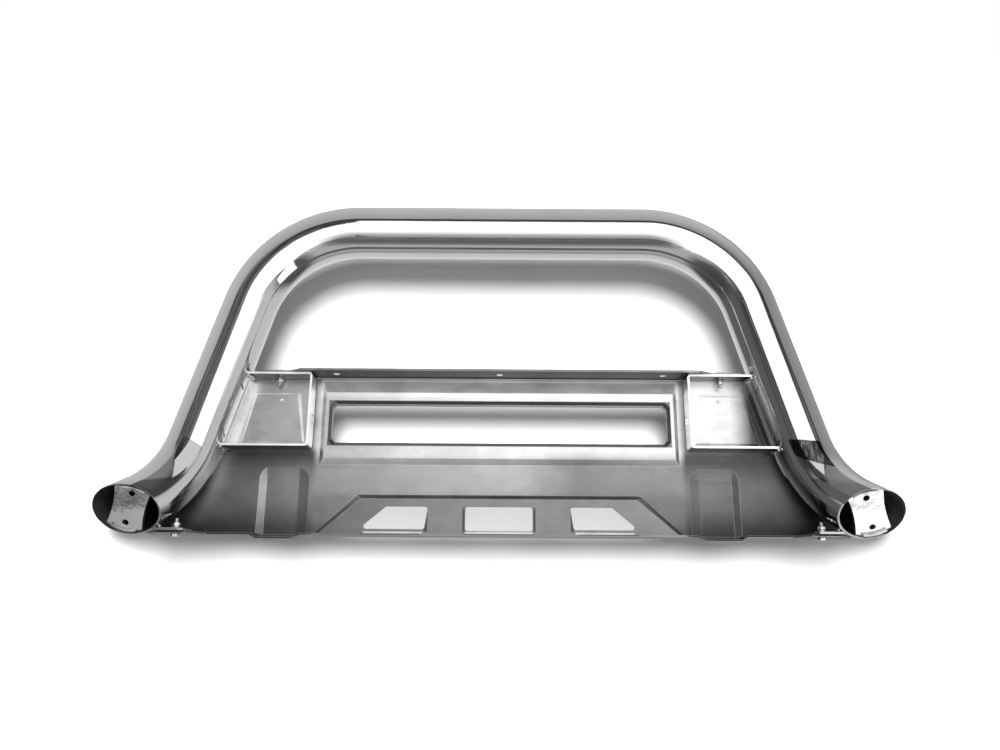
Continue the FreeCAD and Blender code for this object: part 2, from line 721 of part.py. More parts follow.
def rib_inner(depth):
    """Section (y, z) of a rib's hollow."""
    face, under = back - 0.01 + depth, floor + thk + 0.01 - depth
    rear = -dims.lip_reach - 2
    return [(back - 4, dims.rib_top + 6), (face, dims.rib_top - dims.rib_ramp - 1),
            (face, floor + thk + 2 - depth * 0.4), (back - 2 + depth * 0.4, under),
            (rear, under), (rear, floor + 12), (back - 4, floor + 12)]


def press_ribs(plate):
    """Vertical ribs, down the face and round under the bottom flange."""
    stations = [(dims.rib_in, size(0)), (dims.rib_in_flat, dims.rib_depth),
                (dims.rib_out_flat, dims.rib_depth), (dims.rib_out, size(0))]
    for side, side_name in SIDES:
        for outline, stem, suffix, cut in ((rib_outer, "_rib_", "", False),
                                           (rib_inner, "_rib_cut_", "_hollow", True)):
            sections = []
            for i, (x, depth) in enumerate(stations):
                sk = sketch(plate, "%s%s%d" % (side_name, stem, i), "YZ_Plane", x * side)
                poly(sk, outline(depth))
                sections.append(sk)
            loft(plate, side_name + "_rib" + suffix, sections, cut)


def press_panels(plate):
    """Shallow panel ahead of each bracket, pressed rearwards."""
    def outline(inset, side):
        return on_side([
            (dims.panel_in_low + inset, dims.panel_low + inset),
            (dims.panel_out_low - inset, dims.panel_low + inset),
            (dims.panel_out_top - inset, dims.panel_top - inset),
            (dims.panel_in_top + inset, dims.panel_top - inset)], side)

    for side, side_name in SIDES:
        foot, crown = outline(0, side), outline(dims.panel_slope, side)
        press(plate, side_name + "_panel", side_name + "_panel",
              (back + OVERLAP, foot, back - dims.panel_depth, crown),
              (front + SKIM, foot, front - dims.panel_depth, crown))


def cut_openings(plate):
    """Light bar window and the three lower openings, with rounded corners."""
    half, low, high = dims.window_half, dims.window_low, dims.window_top
    corner = dims.window_corner
    sk = sketch(plate, "window_outline", "XZ_Plane", 60)
    window = chamfered_rect(half, low, high, corner)
    poly(sk, window)
    pocket(plate, "light_bar_window", sk, 120)

    sk = sketch(plate, "openings_outline", "XZ_Plane", -(back + 1))
    outlines = [trapezoid(dims.cut_mid_half, dims.cut_mid_half, dims.cut_low, dims.cut_top)]
    for side, _ in SIDES:
        outlines.append(on_side([
            (dims.cut_in_low, dims.cut_side_low), (dims.cut_out_low, dims.cut_side_low),
            (dims.cut_out_top, dims.cut_top), (dims.cut_in_top, dims.cut_top)], side))
    for outline in outlines:
        poly(sk, outline)
    pocket(plate, "lower_openings", sk, 30)

    fillet(plate, "window_corners", y_edges_at(window, tolerance=1.2, longest=12),
           dims.window_rad)
    fillet(plate, "opening_corners", y_edges_at(sum(outlines, []), tolerance=1.2, longest=12),
           dims.cut_rad)


def drill_plate(plate):
    holes = [(dims.flange_hole_pitch * k, -dims.flange_hole_back, dims.flange_hole_dia)
             for k in (-1, 0, 1)]
    holes += [(dims.up_x * side, dims.up_y, dims.screw_hole) for side, _ in SIDES]
    drill(plate, "flange_holes", "XY_Plane", top + 5, 12, holes)
    drill(plate, "lip_holes", "XY_Plane", floor + 10, 16,
          [(dims.low_x * side, -dims.low_y, dims.screw_hole) for side, _ in SIDES])
    drill(plate, "drain_holes", "XZ_Plane", 0, 40,
          [(dims.dot_x * side, dims.dot_z, dims.dot_dia) for side, _ in SIDES])


def build_plate():
    plate = new_body("skid_plate")
    plate_sheet(plate)
    plate_folds(plate)
    press_window_pad(plate)
    press_window_rim(plate)
    press_lower_recess(plate)
    press_ribs(plate)
    press_panels(plate)
    cut_openings(plate)
    drill_plate(plate)


# ---------------------------------------------------------------- upper brackets
bracket_top = top - thk
FLANGE_SLANT = 0.29   # run of the bracket's flange ends along X, per sheet thickness


def build_bracket(side, side_name):
    """Channel open towards the leg, its flange ends coped round the tube."""
    body = new_body(side_name + "_upper_bracket")
    wall, low = dims.bracket_x, dims.bracket_low
    slant = thk * FLANGE_SLANT
    sk = sketch(body, "bracket_profile", "XZ_Plane", dims.bracket_reach)
    poly(sk, on_side([
        (wall, bracket_top), (leg_x(bracket_top), bracket_top),
        (leg_x(bracket_top) + slant, bracket_top - thk), (wall + thk, bracket_top - thk),
        (wall + thk, low + thk), (leg_x(low) - slant, low + thk),
        (leg_x(low), low), (wall, low)], side))
    pad(body, "bracket_fold", sk, dims.bracket_reach + back - dims.bracket_front, reverse=True)
    tube_cope(body, leg_top, leg_dir, side, 20, dims.bracket_gap, dims.leg_len + 50)

    inside = [(wall + thk, bracket_top - thk), (wall + thk, low + thk)]
    fillet(body, "fold_inside", y_edges_at(on_side(inside, side)), dims.bracket_bend)
    outside = [(wall, bracket_top), (wall, low)]
    fillet(body, "fold_outside", y_edges_at(on_side(outside, side)), dims.bracket_bend + thk)
    drill(body, "bolt_hole", "XY_Plane", top + 5, 16,
          [(dims.up_x * side, dims.up_y, dims.screw_hole)])

    # slot for the light bar foot, cut towards +X from 5 short of the wall
    start = wall - 5 if side > 0 else -(wall + thk + 5)
    sk = sketch(body, "bar_slot_outline", "YZ_Plane", start)
    upright_slot(sk, dims.bar_slot_y, dims.bar_slot_z, dims.bar_slot_dia, dims.bar_slot_len)
    pocket(body, "bar_slot", sk, 14, reverse=True)


# ---------------------------------------------------------------- lower tabs
tab_low = floor + thk + FIT_GAP


def build_tab(side, side_name):
    """Flat tab on the bottom flange, coped round the tube."""
    body = new_body(side_name + "_lower_tab")
    inner, outer, rear = dims.tab_in, dims.tab_out, dims.tab_reach
    sk = sketch(body, "tab_outline", "XY_Plane", tab_low)
    poly(sk, on_side([
        (inner, -dims.tab_front), (outer, -dims.tab_front),
        (outer, -(rear - dims.tab_cut_deep)), (outer - dims.tab_cut_wide, -rear),
        (inner + dims.tab_chamfer, -rear), (inner, -(rear - dims.tab_chamfer))], side))
    pad(body, "tab", sk, thk)
    tube_cope(body, foot_end, stub_dir, side, 40, dims.tab_gap, dims.stub_len + 80)
    drill(body, "tab_hole", "XY_Plane", floor + 20, 30,
          [(dims.low_x * side, -dims.low_y, dims.screw_hole)])


# ---------------------------------------------------------------- end plates
# The mitre makes the tube mouth an oval; mouth_long is its long direction.
mouth_cos = stub_dir.dot(mouth_normal)
mouth_long = (stub_dir - mouth_normal * mouth_cos).normalize()
mouth_short = mouth_normal.cross(mouth_long)
end_centre = mouth - stub_dir * (dims.end_depth.value / mouth_cos)


def end_frame(side, x_dir):
    return frame_z(to_side(end_centre, side), mouth_normal, to_side(x_dir, side))


def build_end_plate(side, side_name):
    body = new_body(side_name + "_end_plate")
    rolled = (mouth_long * cosd(dims.end_roll).value
              + mouth_short * sind(dims.end_roll).value)
    body.Placement = end_frame(side, rolled)
    sk = sketch(body, "end_outline", "XY_Plane")
    hourglass(sk, dims.end_half_high, dims.end_half_wide, dims.end_half_waist)
    pad(body, "end_blank", sk, dims.end_thk, reverse=True)
    drill(body, "end_holes", "XY_Plane", 5, 30,
          [(0, dims.end_hole_half * k, dims.end_hole_dia) for k in (1, -1)])

    # trim both tips to the inside of the tube bore
    axis = body.Placement.Rotation.inverted().multVec(to_side(stub_dir, side))
    turn = FreeCAD.Rotation(axis, V(0, 1, 0), axis.cross(V(0, 1, 0)), "XYZ")
    sk = sketch(body, "bore_trim_section", "XY_Plane",
                frame=FreeCAD.Placement(V(0, 0, 0), turn))
    radius = dims.tube_dia / 2 - dims.tube_wall - dims.end_gap
    poly(sk, [(-50, radius), (50, radius), (50, radius + 30), (-50, radius + 30)])
    trim = body.newObject("PartDesign::Groove", "bore_trim")
    trim.Profile = sk
    trim.ReferenceAxis = (sk, ["H_Axis"])
    trim.Angle = 360
    body.Tip = trim


# ---------------------------------------------------------------- welds
END_BEAD_SWING = 11.5     # turn of the end plate beads round the mouth, degrees
END_BEAD_ARC = 44         # their length, degrees
END_BEAD_INSET = 0.9      # their gap to the tube bore
BRACKET_BEAD_ARC = 38     # length of the bracket beads, degrees
BRACKET_BEAD_INSET = 0.75     # their gap to the tube
TAB_BEAD_INSET = 0.3      # gap between tab bead and tube
TAB_BEAD_Y = (-28.0, -40.0)   # front and rear end of the tab bead


def bead_arc(body, tag, role, centre, axis, angle, frame=None):
    """Round bead swept about an axis parallel to the sketch's Y through a point."""
    section = sketch(body, tag + "_bead_section", role, frame=frame)
    circle(section, *centre, dims.bead * 2)
    axis_x, axis_y = axis
    axis_sketch = sketch(body, tag + "_bead_axis", role)
    line(axis_sketch, axis_x, axis_y - 5, axis_x, axis_y + 5)
    bead = body.newObject("PartDesign::Revolution", tag + "_bead")
    bead.Profile = section
    bead.ReferenceAxis = (axis_sketch, ["Edge1"])
    bead.Angle = angle
    bead.Midplane = True
    body.Tip = bead


def build_end_welds(side, side_name):
    """Beads at both tips of the end plate, in the corner with the tube bore."""
    body = new_body(side_name + "_end_welds")
    body.Placement = end_frame(side, mouth_long)
    bore = dims.tube_dia.value / 2 - dims.tube_wall.value
    curve_rad = bore / (mouth_cos * mouth_cos)   # of the oval at its flat side
    swing = math.radians(END_BEAD_SWING) * side
    for k, tag in ((1, "upper"), (-1, "lower")):
        axis_y = (bore - curve_rad) * k
        # the section is turned about the bead's own axis
        frame = FreeCAD.Placement(
            V(axis_y * (1 - math.cos(swing)), 0, axis_y * math.sin(swing)),
            FreeCAD.Rotation(V(0, 1, 0), math.degrees(swing)))
        centre = (dims.tube_dia / 2 - dims.tube_wall - dims.bead - END_BEAD_INSET) * k
        bead_arc(body, tag, "YZ_Plane", (centre, dims.bead + WELD_GAP), (axis_y, 0),
                 END_BEAD_ARC, frame)


def build_bracket_welds(side, side_name):
    """Beads on the inner side of the leg, below each bracket flange."""
    body = new_body(side_name + "_bracket_welds")
    for tag, level in (("upper", bracket_top - thk), ("lower", dims.bracket_low)):
        z = level - dims.bead - WELD_GAP
        axis_x = leg_x(z)
        tube_side = axis_x - dims.tube_dia / 2 / sind(dims.bend_deg)
        bead_arc(body, tag, "XZ_Plane",
                 ((tube_side - dims.bead - BRACKET_BEAD_INSET) * side, z),
                 (axis_x * side, z), BRACKET_BEAD_ARC)


def tab_bead_x(y, z):
    """X inboard of the right stub where a bead just clears the tube."""
    far, near = foot_end.x - 70.0, foot_end.x - 5.0
    clear = dims.tube_dia.value / 2 + dims.bead.value + TAB_BEAD_INSET
    for _ in range(60):
        middle = (far + near) / 2
        arm = V(middle, y, z) - foot_end
        if (arm - stub_dir * arm.dot(stub_dir)).Length > clear:
            far = middle
        else:
            near = middle
    return far


def build_tab_weld(side, side_name):
    """Straight bead that lies on the tab, beside the tube."""
    body = new_body(side_name + "_tab_weld")
    z = floor.value + 2 * thk.value + WELD_GAP + dims.bead.value
    start, end = [V(tab_bead_x(y, z) * side, y, z) for y in TAB_BEAD_Y]
    cylinder(body, "PartDesign::AdditiveCylinder", "bead",
             frame_z(start, end - start, V(0, 0, 1)), dims.bead, (end - start).Length)
    fillet(body, "bead_ends", is_circle, dims.bead * 0.8)


# ---------------------------------------------------------------- fasteners
def build_bolts(name, x, y, seat, up):
    """A pair of hex bolts from the level under the head; shank up or down."""
    body = new_body(name)
    sk = sketch(body, "head_outline", "XY_Plane", seat)
    for side, _ in SIDES:
        hexagon(sk, x * side, y, dims.hex_af)
    pad(body, "head", sk, dims.head_thk, reverse=up)
    sk = sketch(body, "shank_outline", "XY_Plane", seat)
    for side, _ in SIDES:
        circle(sk, x * side, y, dims.screw_dia)
    pad(body, "shank", sk, dims.screw_len, reverse=not up)
    end = (seat + dims.screw_len if up else seat - dims.screw_len).value
    fillet(body, "shank_point",
           lambda edge: is_circle(edge) and abs(edge.CenterOfMass.z - end) < 1e-3,
           dims.screw_point, chamfer=True)


def build_rings(name, x, y, z, thick, width, outline=circle, play=dims.washer_play):
    """A pair of washers or nuts; z is the level of the lower face."""
    body = new_body(name)
    sk = sketch(body, "ring_outline", "XY_Plane", z)
    for side, _ in SIDES:
        outline(sk, x * side, y, width)
        circle(sk, x * side, y, dims.screw_dia + play)
    pad(body, "ring", sk, thick)


def build_fasteners():
    washer, spring, nut = dims.washer_thk, dims.spring_thk, dims.nut_thk

    # upper: head and washer above the plate flange, spring washer and nut
    # below the bracket flange
    x, y = dims.up_x, dims.up_y
    under = bracket_top - thk
    build_bolts("upper_bolts", x, y, top + washer + 2 * FIT_GAP, up=False)
    build_rings("upper_washers", x, y, top + FIT_GAP, washer, dims.washer_dia)
    build_rings("upper_lock_washers", x, y, under - spring - FIT_GAP, spring, dims.spring_dia)
    build_rings("upper_nuts", x, y, under - spring - nut - 2 * FIT_GAP, nut, dims.hex_af,
                hexagon, dims.nut_play)

    # lower: head below the bottom flange; washer, spring washer and nut above the tab
    x, y = dims.low_x, -dims.low_y
    above = tab_low + thk
    build_bolts("lower_bolts", x, y, floor - FIT_GAP, up=True)
    build_rings("lower_washers", x, y, above + FIT_GAP, washer, dims.washer_dia)
    build_rings("lower_lock_washers", x, y, above + washer + 2 * FIT_GAP, spring,
                dims.spring_dia)
    build_rings("lower_nuts", x, y, above + washer + spring + 3 * FIT_GAP, nut, dims.hex_af,
                hexagon, dims.nut_play)


# ---------------------------------------------------------------- placing and export
def place_bodies(bodies):
    """Move every body forwards by hoop_y."""
    shift = FreeCAD.Placement(V(0, dims.hoop_y.value, 0), FreeCAD.Rotation())
    for body in bodies:
        own_y = body.Placement.Base.y
        body.Placement = shift.multiply(body.Placement)
        body.setExpression("Placement.Base.y", "%r + dims.hoop_y" % own_y)
    doc.recompute()


def check(bodies):
    faults = []
    for thing in doc.Objects:
        states = [state for state in thing.State if state in ("Invalid", "Error")]
        if states:
            faults.append("%s (%s): %s" % (thing.Name, thing.Label, states))
    for body in bodies:
        if body.Shape.isNull() or not body.Shape.isValid() or not body.Shape.Solids:
            faults.append("%s: null or invalid shape" % body.Label)
    if faults:
        raise RuntimeError("objects not right:\n" + "\n".join(faults))


build_hoop()
build_plate()
for build in (build_bracket, build_tab, build_end_plate, build_end_welds,
              build_bracket_welds, build_tab_weld):
    for side, side_name in SIDES:
        build(side, side_name)
build_fasteners()

bodies = [thing for thing in doc.Objects if thing.TypeId == "PartDesign::Body"]
place_bodies(bodies)
check(bodies)
os.makedirs("parts", exist_ok=True)
for body in bodies:
    body.Shape.exportStep("parts/%s.step" % body.Label)
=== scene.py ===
"""Guard made of a polished tube hoop with a satin skid plate, brackets, end plates and bolts.

The hoop lies upright in a plane of constant y, mirrored about x = 0, with its feet bent towards -Y.
+X is right, -Y is the rear (the camera's side) and +Z is up. Lengths are metres.
"""
import bpy, bmesh, math
from mathutils import Vector, Matrix, noise


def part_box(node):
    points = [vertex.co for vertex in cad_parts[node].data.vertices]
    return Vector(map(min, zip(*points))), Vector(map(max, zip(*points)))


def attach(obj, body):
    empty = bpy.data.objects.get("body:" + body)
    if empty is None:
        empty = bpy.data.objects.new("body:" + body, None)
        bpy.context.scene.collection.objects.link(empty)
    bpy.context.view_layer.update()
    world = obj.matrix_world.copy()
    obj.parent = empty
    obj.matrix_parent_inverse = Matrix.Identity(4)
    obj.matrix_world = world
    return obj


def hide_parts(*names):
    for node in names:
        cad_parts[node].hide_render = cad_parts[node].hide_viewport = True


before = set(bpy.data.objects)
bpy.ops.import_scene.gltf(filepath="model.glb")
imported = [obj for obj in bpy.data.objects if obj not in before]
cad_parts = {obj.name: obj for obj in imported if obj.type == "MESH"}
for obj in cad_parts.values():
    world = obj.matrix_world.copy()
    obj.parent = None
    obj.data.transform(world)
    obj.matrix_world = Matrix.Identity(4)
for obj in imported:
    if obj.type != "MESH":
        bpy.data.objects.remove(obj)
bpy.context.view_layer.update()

# ------------------------------------------------------------------ driving sizes
MM = 0.001
HOOP_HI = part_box("hoop_tube")[1]
TUBE_RADIUS = 38.1 * MM          # outside
WALL = 2.0 * MM
BORE_RADIUS = TUBE_RADIUS - WALL
TOP_Z = HOOP_HI.z - TUBE_RADIUS  # centreline of the top run
HOOP_Y = HOOP_HI.y - TUBE_RADIUS
TOP_HALF = 210 * MM              # half of the straight top run
SHOULDER_RADIUS = 165 * MM
SHOULDER_TURN = math.radians(74)
LEG_LENGTH = 210 * MM
FOOT_RADIUS = 130 * MM
FOOT_TURN = math.radians(52)
FOOT_ROLL = math.radians(26)     # how far the foot bend leans outwards from straight back
FOOT_END = 20 * MM               # straight end after the foot bend
MOUTH_CUT = math.radians(38)     # tilt of the cut from upright

HEX_FLATS = 10 * MM              # across flats, bolt heads and nuts
SHANK_RADIUS = 3 * MM
HEAD_HEIGHT = 4 * MM
BEAD_RADIUS = 2.2 * MM
FLOOR_Z = -0.30


# ------------------------------------------------------------------ right half of the centreline
def shoulder_at(turn):
    """Point and direction on the shoulder bend."""
    return (Vector((TOP_HALF + SHOULDER_RADIUS * math.sin(turn), HOOP_Y,
                    TOP_Z - SHOULDER_RADIUS + SHOULDER_RADIUS * math.cos(turn))),
            Vector((math.cos(turn), 0, -math.sin(turn))))


def foot_at(turn):
    """Point and direction on the foot bend."""
    return (LEG_BOTTOM + LEG_DIR * (FOOT_RADIUS * math.sin(turn))
            + FOOT_INWARD * (FOOT_RADIUS * (1 - math.cos(turn))),
            LEG_DIR * math.cos(turn) + FOOT_INWARD * math.sin(turn))


LEG_TOP, LEG_DIR = shoulder_at(SHOULDER_TURN)
LEG_OUT = Vector((math.sin(SHOULDER_TURN), 0, math.cos(SHOULDER_TURN)))
LEG_BOTTOM = LEG_TOP + LEG_DIR * LEG_LENGTH
# from the leg towards the centre of the foot bend
FOOT_INWARD = LEG_OUT * math.sin(FOOT_ROLL) + Vector((0, -1, 0)) * math.cos(FOOT_ROLL)
BEND_END, FOOT_DIR = foot_at(FOOT_TURN)
MOUTH = BEND_END + FOOT_DIR * FOOT_END
MOUTH_NORMAL = Vector((0, -math.cos(MOUTH_CUT), -math.sin(MOUTH_CUT)))
MOUTH_COS = FOOT_DIR.dot(MOUTH_NORMAL)


# ------------------------------------------------------------------ mesh helpers
def mesh_object(name, verts, faces, sharp_angle=None):
    """Flat-shaded object, or smooth with edges sharper than sharp_angle (degrees) kept."""
    mesh = bpy.data.meshes.new(name)
    mesh.from_pydata([tuple(v) for v in verts], [], faces)
    mesh.validate()
    bm = bmesh.new()
    bm.from_mesh(mesh)
    bmesh.ops.recalc_face_normals(bm, faces=bm.faces[:])
    bm.to_mesh(mesh)
    bm.free()
    smooth = sharp_angle is not None
    mesh.polygons.foreach_set("use_smooth", [smooth] * len(mesh.polygons))
    if smooth:
        mesh.set_sharp_from_angle(angle=math.radians(sharp_angle))
    mesh.update()
    return link_object(name, mesh)


def link_object(name, data):
    ob = bpy.data.objects.new(name, data)
    bpy.context.scene.collection.objects.link(ob)
    return ob


def merged(name, parts, sharp_angle):
    """One object from several (vertices, faces) parts."""
    verts, faces = [], []
    for part_verts, part_faces in parts:
        base = len(verts)
        verts += part_verts
        faces += [tuple(i + base for i in face) for face in part_faces]
    return mesh_object(name, verts, faces, sharp_angle)


def register(ob, node):
    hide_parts(node)
    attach(ob, "root")


def stitch(rings, size, closed=False):
    """Quads between rings of size vertices; closed joins the last ring to the first."""
    faces = []
    for i in range(rings if closed else rings - 1):
        here = i * size
        after = (i + 1) % rings * size
        for k in range(size):
            j = (k + 1) % size
            faces.append((here + k, here + j, after + j, after + k))
    return faces


def end_caps(rings, size):
    return [tuple(range(size)), tuple(range((rings - 1) * size, rings * size))]


def polar(centre, radius, angle, z):
    return centre + Vector((radius * math.cos(angle), radius * math.sin(angle), z))


def mirrored(point, side):
    return Vector((point.x * side, point.y, point.z))


# ------------------------------------------------------------------ shader helpers
def as_colour(value):
    """A plain number stands for a grey."""
    return (value, value, value, 1.0) if isinstance(value, (int, float)) else value


class Net:
    """Shader of a material or world. Inputs are sockets or plain values."""

    def __init__(self, owner):
        owner.use_nodes = True
        self.tree = owner.node_tree
        for node in list(self.tree.nodes):
            if not node.type.startswith("OUTPUT_"):
                self.tree.nodes.remove(node)
        self.output = self.tree.nodes[0]

    def node(self, kind, inputs=None, **settings):
        node = self.tree.nodes.new("ShaderNode" + kind)
        for name, value in settings.items():
            setattr(node, name, value)
        for key, value in (inputs or {}).items():
            if isinstance(value, bpy.types.NodeSocket):
                self.tree.links.new(value, node.inputs[key])
            else:
                node.inputs[key].default_value = value
        return node

    def surface(self, shader):
        self.tree.links.new(shader, self.output.inputs["Surface"])

    def metal(self, colour, roughness, normal, metallic=1.0, extra=None):
        inputs = {"Metallic": metallic, "Base Color": colour, "Roughness": roughness,
                  "Normal": normal}
        inputs.update(extra or {})
        self.surface(self.node("BsdfPrincipled", inputs).outputs[0])

    def mix_shader(self, factor, first, second):
        return self.node("MixShader", {0: factor, 1: first, 2: second}).outputs[0]

    def math(self, operation, *values, clamp=False):
        return self.node("Math", dict(enumerate(values)), operation=operation,
                         use_clamp=clamp).outputs[0]

    def add(self, a, b):
        return self.math("ADD", a, b)

    def sub(self, a, b, clamp=False):
        return self.math("SUBTRACT", a, b, clamp=clamp)

    def mul(self, a, b, clamp=False):
        return self.math("MULTIPLY", a, b, clamp=clamp)

    def larger(self, a, b):
        return self.math("MAXIMUM", a, b)

    def inverse(self, mask):
        return self.sub(1.0, mask)

    def vary(self, least, *swings):
        """least plus the sum of (source, amount) products."""
        parts = [self.mul(source, amount) for source, amount in swings]
        total = parts[0]
        for part in parts[1:]:
            total = self.add(total, part)
        return self.add(total, least)

    def mix(self, factor, a, b, mode="MIX"):
        inputs = {0: factor, 6: as_colour(a), 7: as_colour(b)}    # the colour sockets of the node
        return self.node("Mix", inputs, data_type="RGBA", blend_type=mode).outputs[2]

    def tint(self, a, b):
        return self.mix(1.0, a, b, "MULTIPLY")

    def coords(self, space="Object"):
        return self.node("TexCoord").outputs[space]

    def position(self, scale=(1, 1, 1), source=None):
        vector = source or self.coords()
        return self.node("Mapping", {"Scale": scale, "Vector": vector}).outputs["Vector"]

    def split(self, vector):
        return tuple(self.node("SeparateXYZ", {"Vector": vector}).outputs)

    def xyz(self):
        return self.split(self.coords())

    def geometry(self, quantity):
        return self.node("NewGeometry").outputs[quantity]

    def dot(self, a, b):
        return self.node("VectorMath", {0: a, 1: b}, operation="DOT_PRODUCT").outputs["Value"]

    def noise(self, vector, scale, detail=4.0, roughness=0.55, distortion=0.0):
        return self.node("TexNoise", {"Scale": scale, "Detail": detail, "Roughness": roughness,
                                      "Distortion": distortion, "Vector": vector}).outputs["Fac"]

    def ramp(self, source, stops):
        """stops: (position, grey or colour)."""
        node = self.node("ValToRGB", {"Fac": source})
        elements = node.color_ramp.elements
        while len(elements) > 1:
            elements.remove(elements[-1])
        elements[0].position = stops[0][0]
        elements[0].color = as_colour(stops[0][1])
        for place, value in stops[1:]:
            elements.new(place).color = as_colour(value)
        return node.outputs[0]

    def fade(self, value, off, on, low=0.0, high=1.0):
        """low where value is at off, high where it is at on."""
        return self.node("MapRange", {"Value": value, "From Min": off, "From Max": on,
                                      "To Min": low, "To Max": high}).outputs["Result"]

    def span(self, value, start, end, soft):
        """1 between start and end, 0 outside, with ends blurred by soft."""
        rise = self.fade(value, start - soft, start + soft)
        fall = self.fade(value, end - soft, end + soft, low=1.0, high=0.0)
        return self.mul(rise, fall)

    def facing(self, direction, off, on, quantity="True Normal"):
        """0 to 1 as the cosine between the surface and direction goes from off to on."""
        return self.fade(self.dot(self.geometry(quantity), direction), off, on)

    def bump(self, height, strength, distance, normal=None):
        inputs = {"Strength": strength, "Distance": distance, "Height": height}
        if normal is not None:
            inputs["Normal"] = normal
        return self.node("Bump", inputs).outputs["Normal"]

    def edge_mask(self, radius):
        """White on sharp edges and black on flats, and the rounded normal."""
        gain = 6.0
        rounded = self.node("Bevel", {"Radius": radius}, samples=4).outputs["Normal"]
        off_flat = self.sub(1.0, self.dot(rounded, self.geometry("Normal")))
        return self.mul(off_flat, gain, clamp=True), rounded


def new_material(name):
    material = bpy.data.materials.new(name)
    return material, Net(material)


def right_side(net, x):
    """0 on the left half, 1 on the right half."""
    return net.fade(x, off=-0.1, on=0.1)


DOWN, REAR, RIGHT, LEFT = (0, 0, -1), (0, -1, 0), (1, 0, 0), (-1, 0, 0)


# ------------------------------------------------------------------ polished tube
def painted_foot_reflection(net):
    """Painted reflection: dark and pale arcs on the inner rear faces of the feet: where, and how
    bright.

    "along" is mm past the start of the foot bend, "around" is degrees round the tube.
    """
    wave_height = 22.0           # how far the arc edges wander
    around_origin = 60.0         # the arcs slant about around = -60
    slant_right, slant_left = 0.9, 1.3                 # mm along per degree, arcs
    start_slant_right, start_slant_left = -0.25, 0.3   # the same, start of the painted reflection

    x = net.xyz()[0]
    right = right_side(net, x)
    wobble = net.noise(net.position(), scale=14.0, detail=1.5, roughness=0.4)
    wave = net.mul(net.sub(wobble, 0.5), wave_height)
    along = net.node("Attribute", attribute_name="along").outputs["Fac"]
    around = net.node("Attribute", attribute_name="around").outputs["Fac"]
    wavy_along = net.add(along, wave)
    wavy_around = net.add(around, wave)
    offset = net.add(around, around_origin)
    # painted reflection streaks inside the dark arcs
    streaks = net.noise(net.position((2.0, 1.0, 0.4)), scale=110.0, detail=4.0, roughness=0.6)
    lines = net.ramp(streaks, [(0.45, 0.03), (0.52, 0.07), (0.60, 0.16), (0.66, 0.05)])

    # right foot: dark arc, pale arc, then darker towards the mouth
    arc = net.sub(wavy_along, net.mul(offset, slant_right))
    right_tone = net.mix(net.fade(arc, off=23.5, on=25.0), lines, 0.46)
    right_tone = net.mix(net.fade(arc, off=58.0, on=80.0), right_tone, 0.30)
    late = net.mul(net.fade(arc, off=64.0, on=66.0), net.fade(wavy_around, off=-49.0, on=-51.0))
    right_tone = net.mix(late, right_tone, 0.20)
    # left foot: pale, then dark
    arc = net.sub(wavy_along, net.mul(offset, slant_left))
    left_tone = net.mix(net.fade(arc, off=62.0, on=70.0), 0.42, 0.16)
    tone = net.mix(right, left_tone, right_tone)

    edge = net.fade(wavy_around, off=-13.0, on=-14.5)
    begin = net.fade(net.add(wavy_along, net.mul(offset, start_slant_right)), off=-7.0, on=-6.0)
    zone_right = net.mul(net.mul(begin, edge), net.fade(wavy_around, off=-72.0, on=-70.0))
    begin = net.fade(net.add(wavy_along, net.mul(offset, start_slant_left)), off=13.0, on=14.5)
    zone_left = net.mul(begin, net.span(around, start=-66.0, end=-20.0, soft=1.5))
    zone = net.mul(net.mix(right, zone_left, zone_right), net.fade(along, off=175.0, on=150.0))
    return zone, tone


def polished_steel():
    material, net = new_material("polished_stainless")
    place = net.position()
    cloud = net.noise(place, scale=9.0, detail=3.0)
    fine = net.noise(net.position((30, 400, 400)), scale=6.0, detail=3.0)
    haze = net.noise(place, scale=60.0, detail=5.0, roughness=0.6)
    colour = net.ramp(cloud, [(0.3, 0.80), (0.7, (0.86, 0.86, 0.865, 1))])
    # painted reflection arcs on the feet
    zone, foot_reflection_tone = painted_foot_reflection(net)
    colour = net.mix(zone, colour, foot_reflection_tone)
    rim_strength = 0.75          # darkening of the cut end
    rim = net.facing(tuple(MOUTH_NORMAL), off=0.96, on=0.99)
    colour = net.mix(net.mul(rim, rim_strength), colour, 0.05)
    roughness = net.vary(0.015, (haze, 0.045), (fine, 0.02))
    skin = net.bump(haze, strength=0.05, distance=0.0004)
    slow = net.noise(place, scale=14.0, detail=2.0)
    net.metal(colour, roughness, net.bump(slow, strength=0.10, distance=0.004, normal=skin))
    return material


def raw_bore_in_painted_shade():
    """Dull, oxidised inside of the tube, painted near-black for the shade inside the bore."""
    material, net = new_material("raw_tube_bore_painted_dark")
    rust = net.noise(net.position(), scale=70.0, detail=5.0)
    colour = net.ramp(rust, [(0.3, (0.020, 0.019, 0.018, 1)), (0.7, (0.055, 0.053, 0.050, 1))])
    net.metal(colour, net.vary(0.45, (rust, 0.3)), net.bump(rust, strength=0.3, distance=0.0003),
              metallic=0.7)
    return material


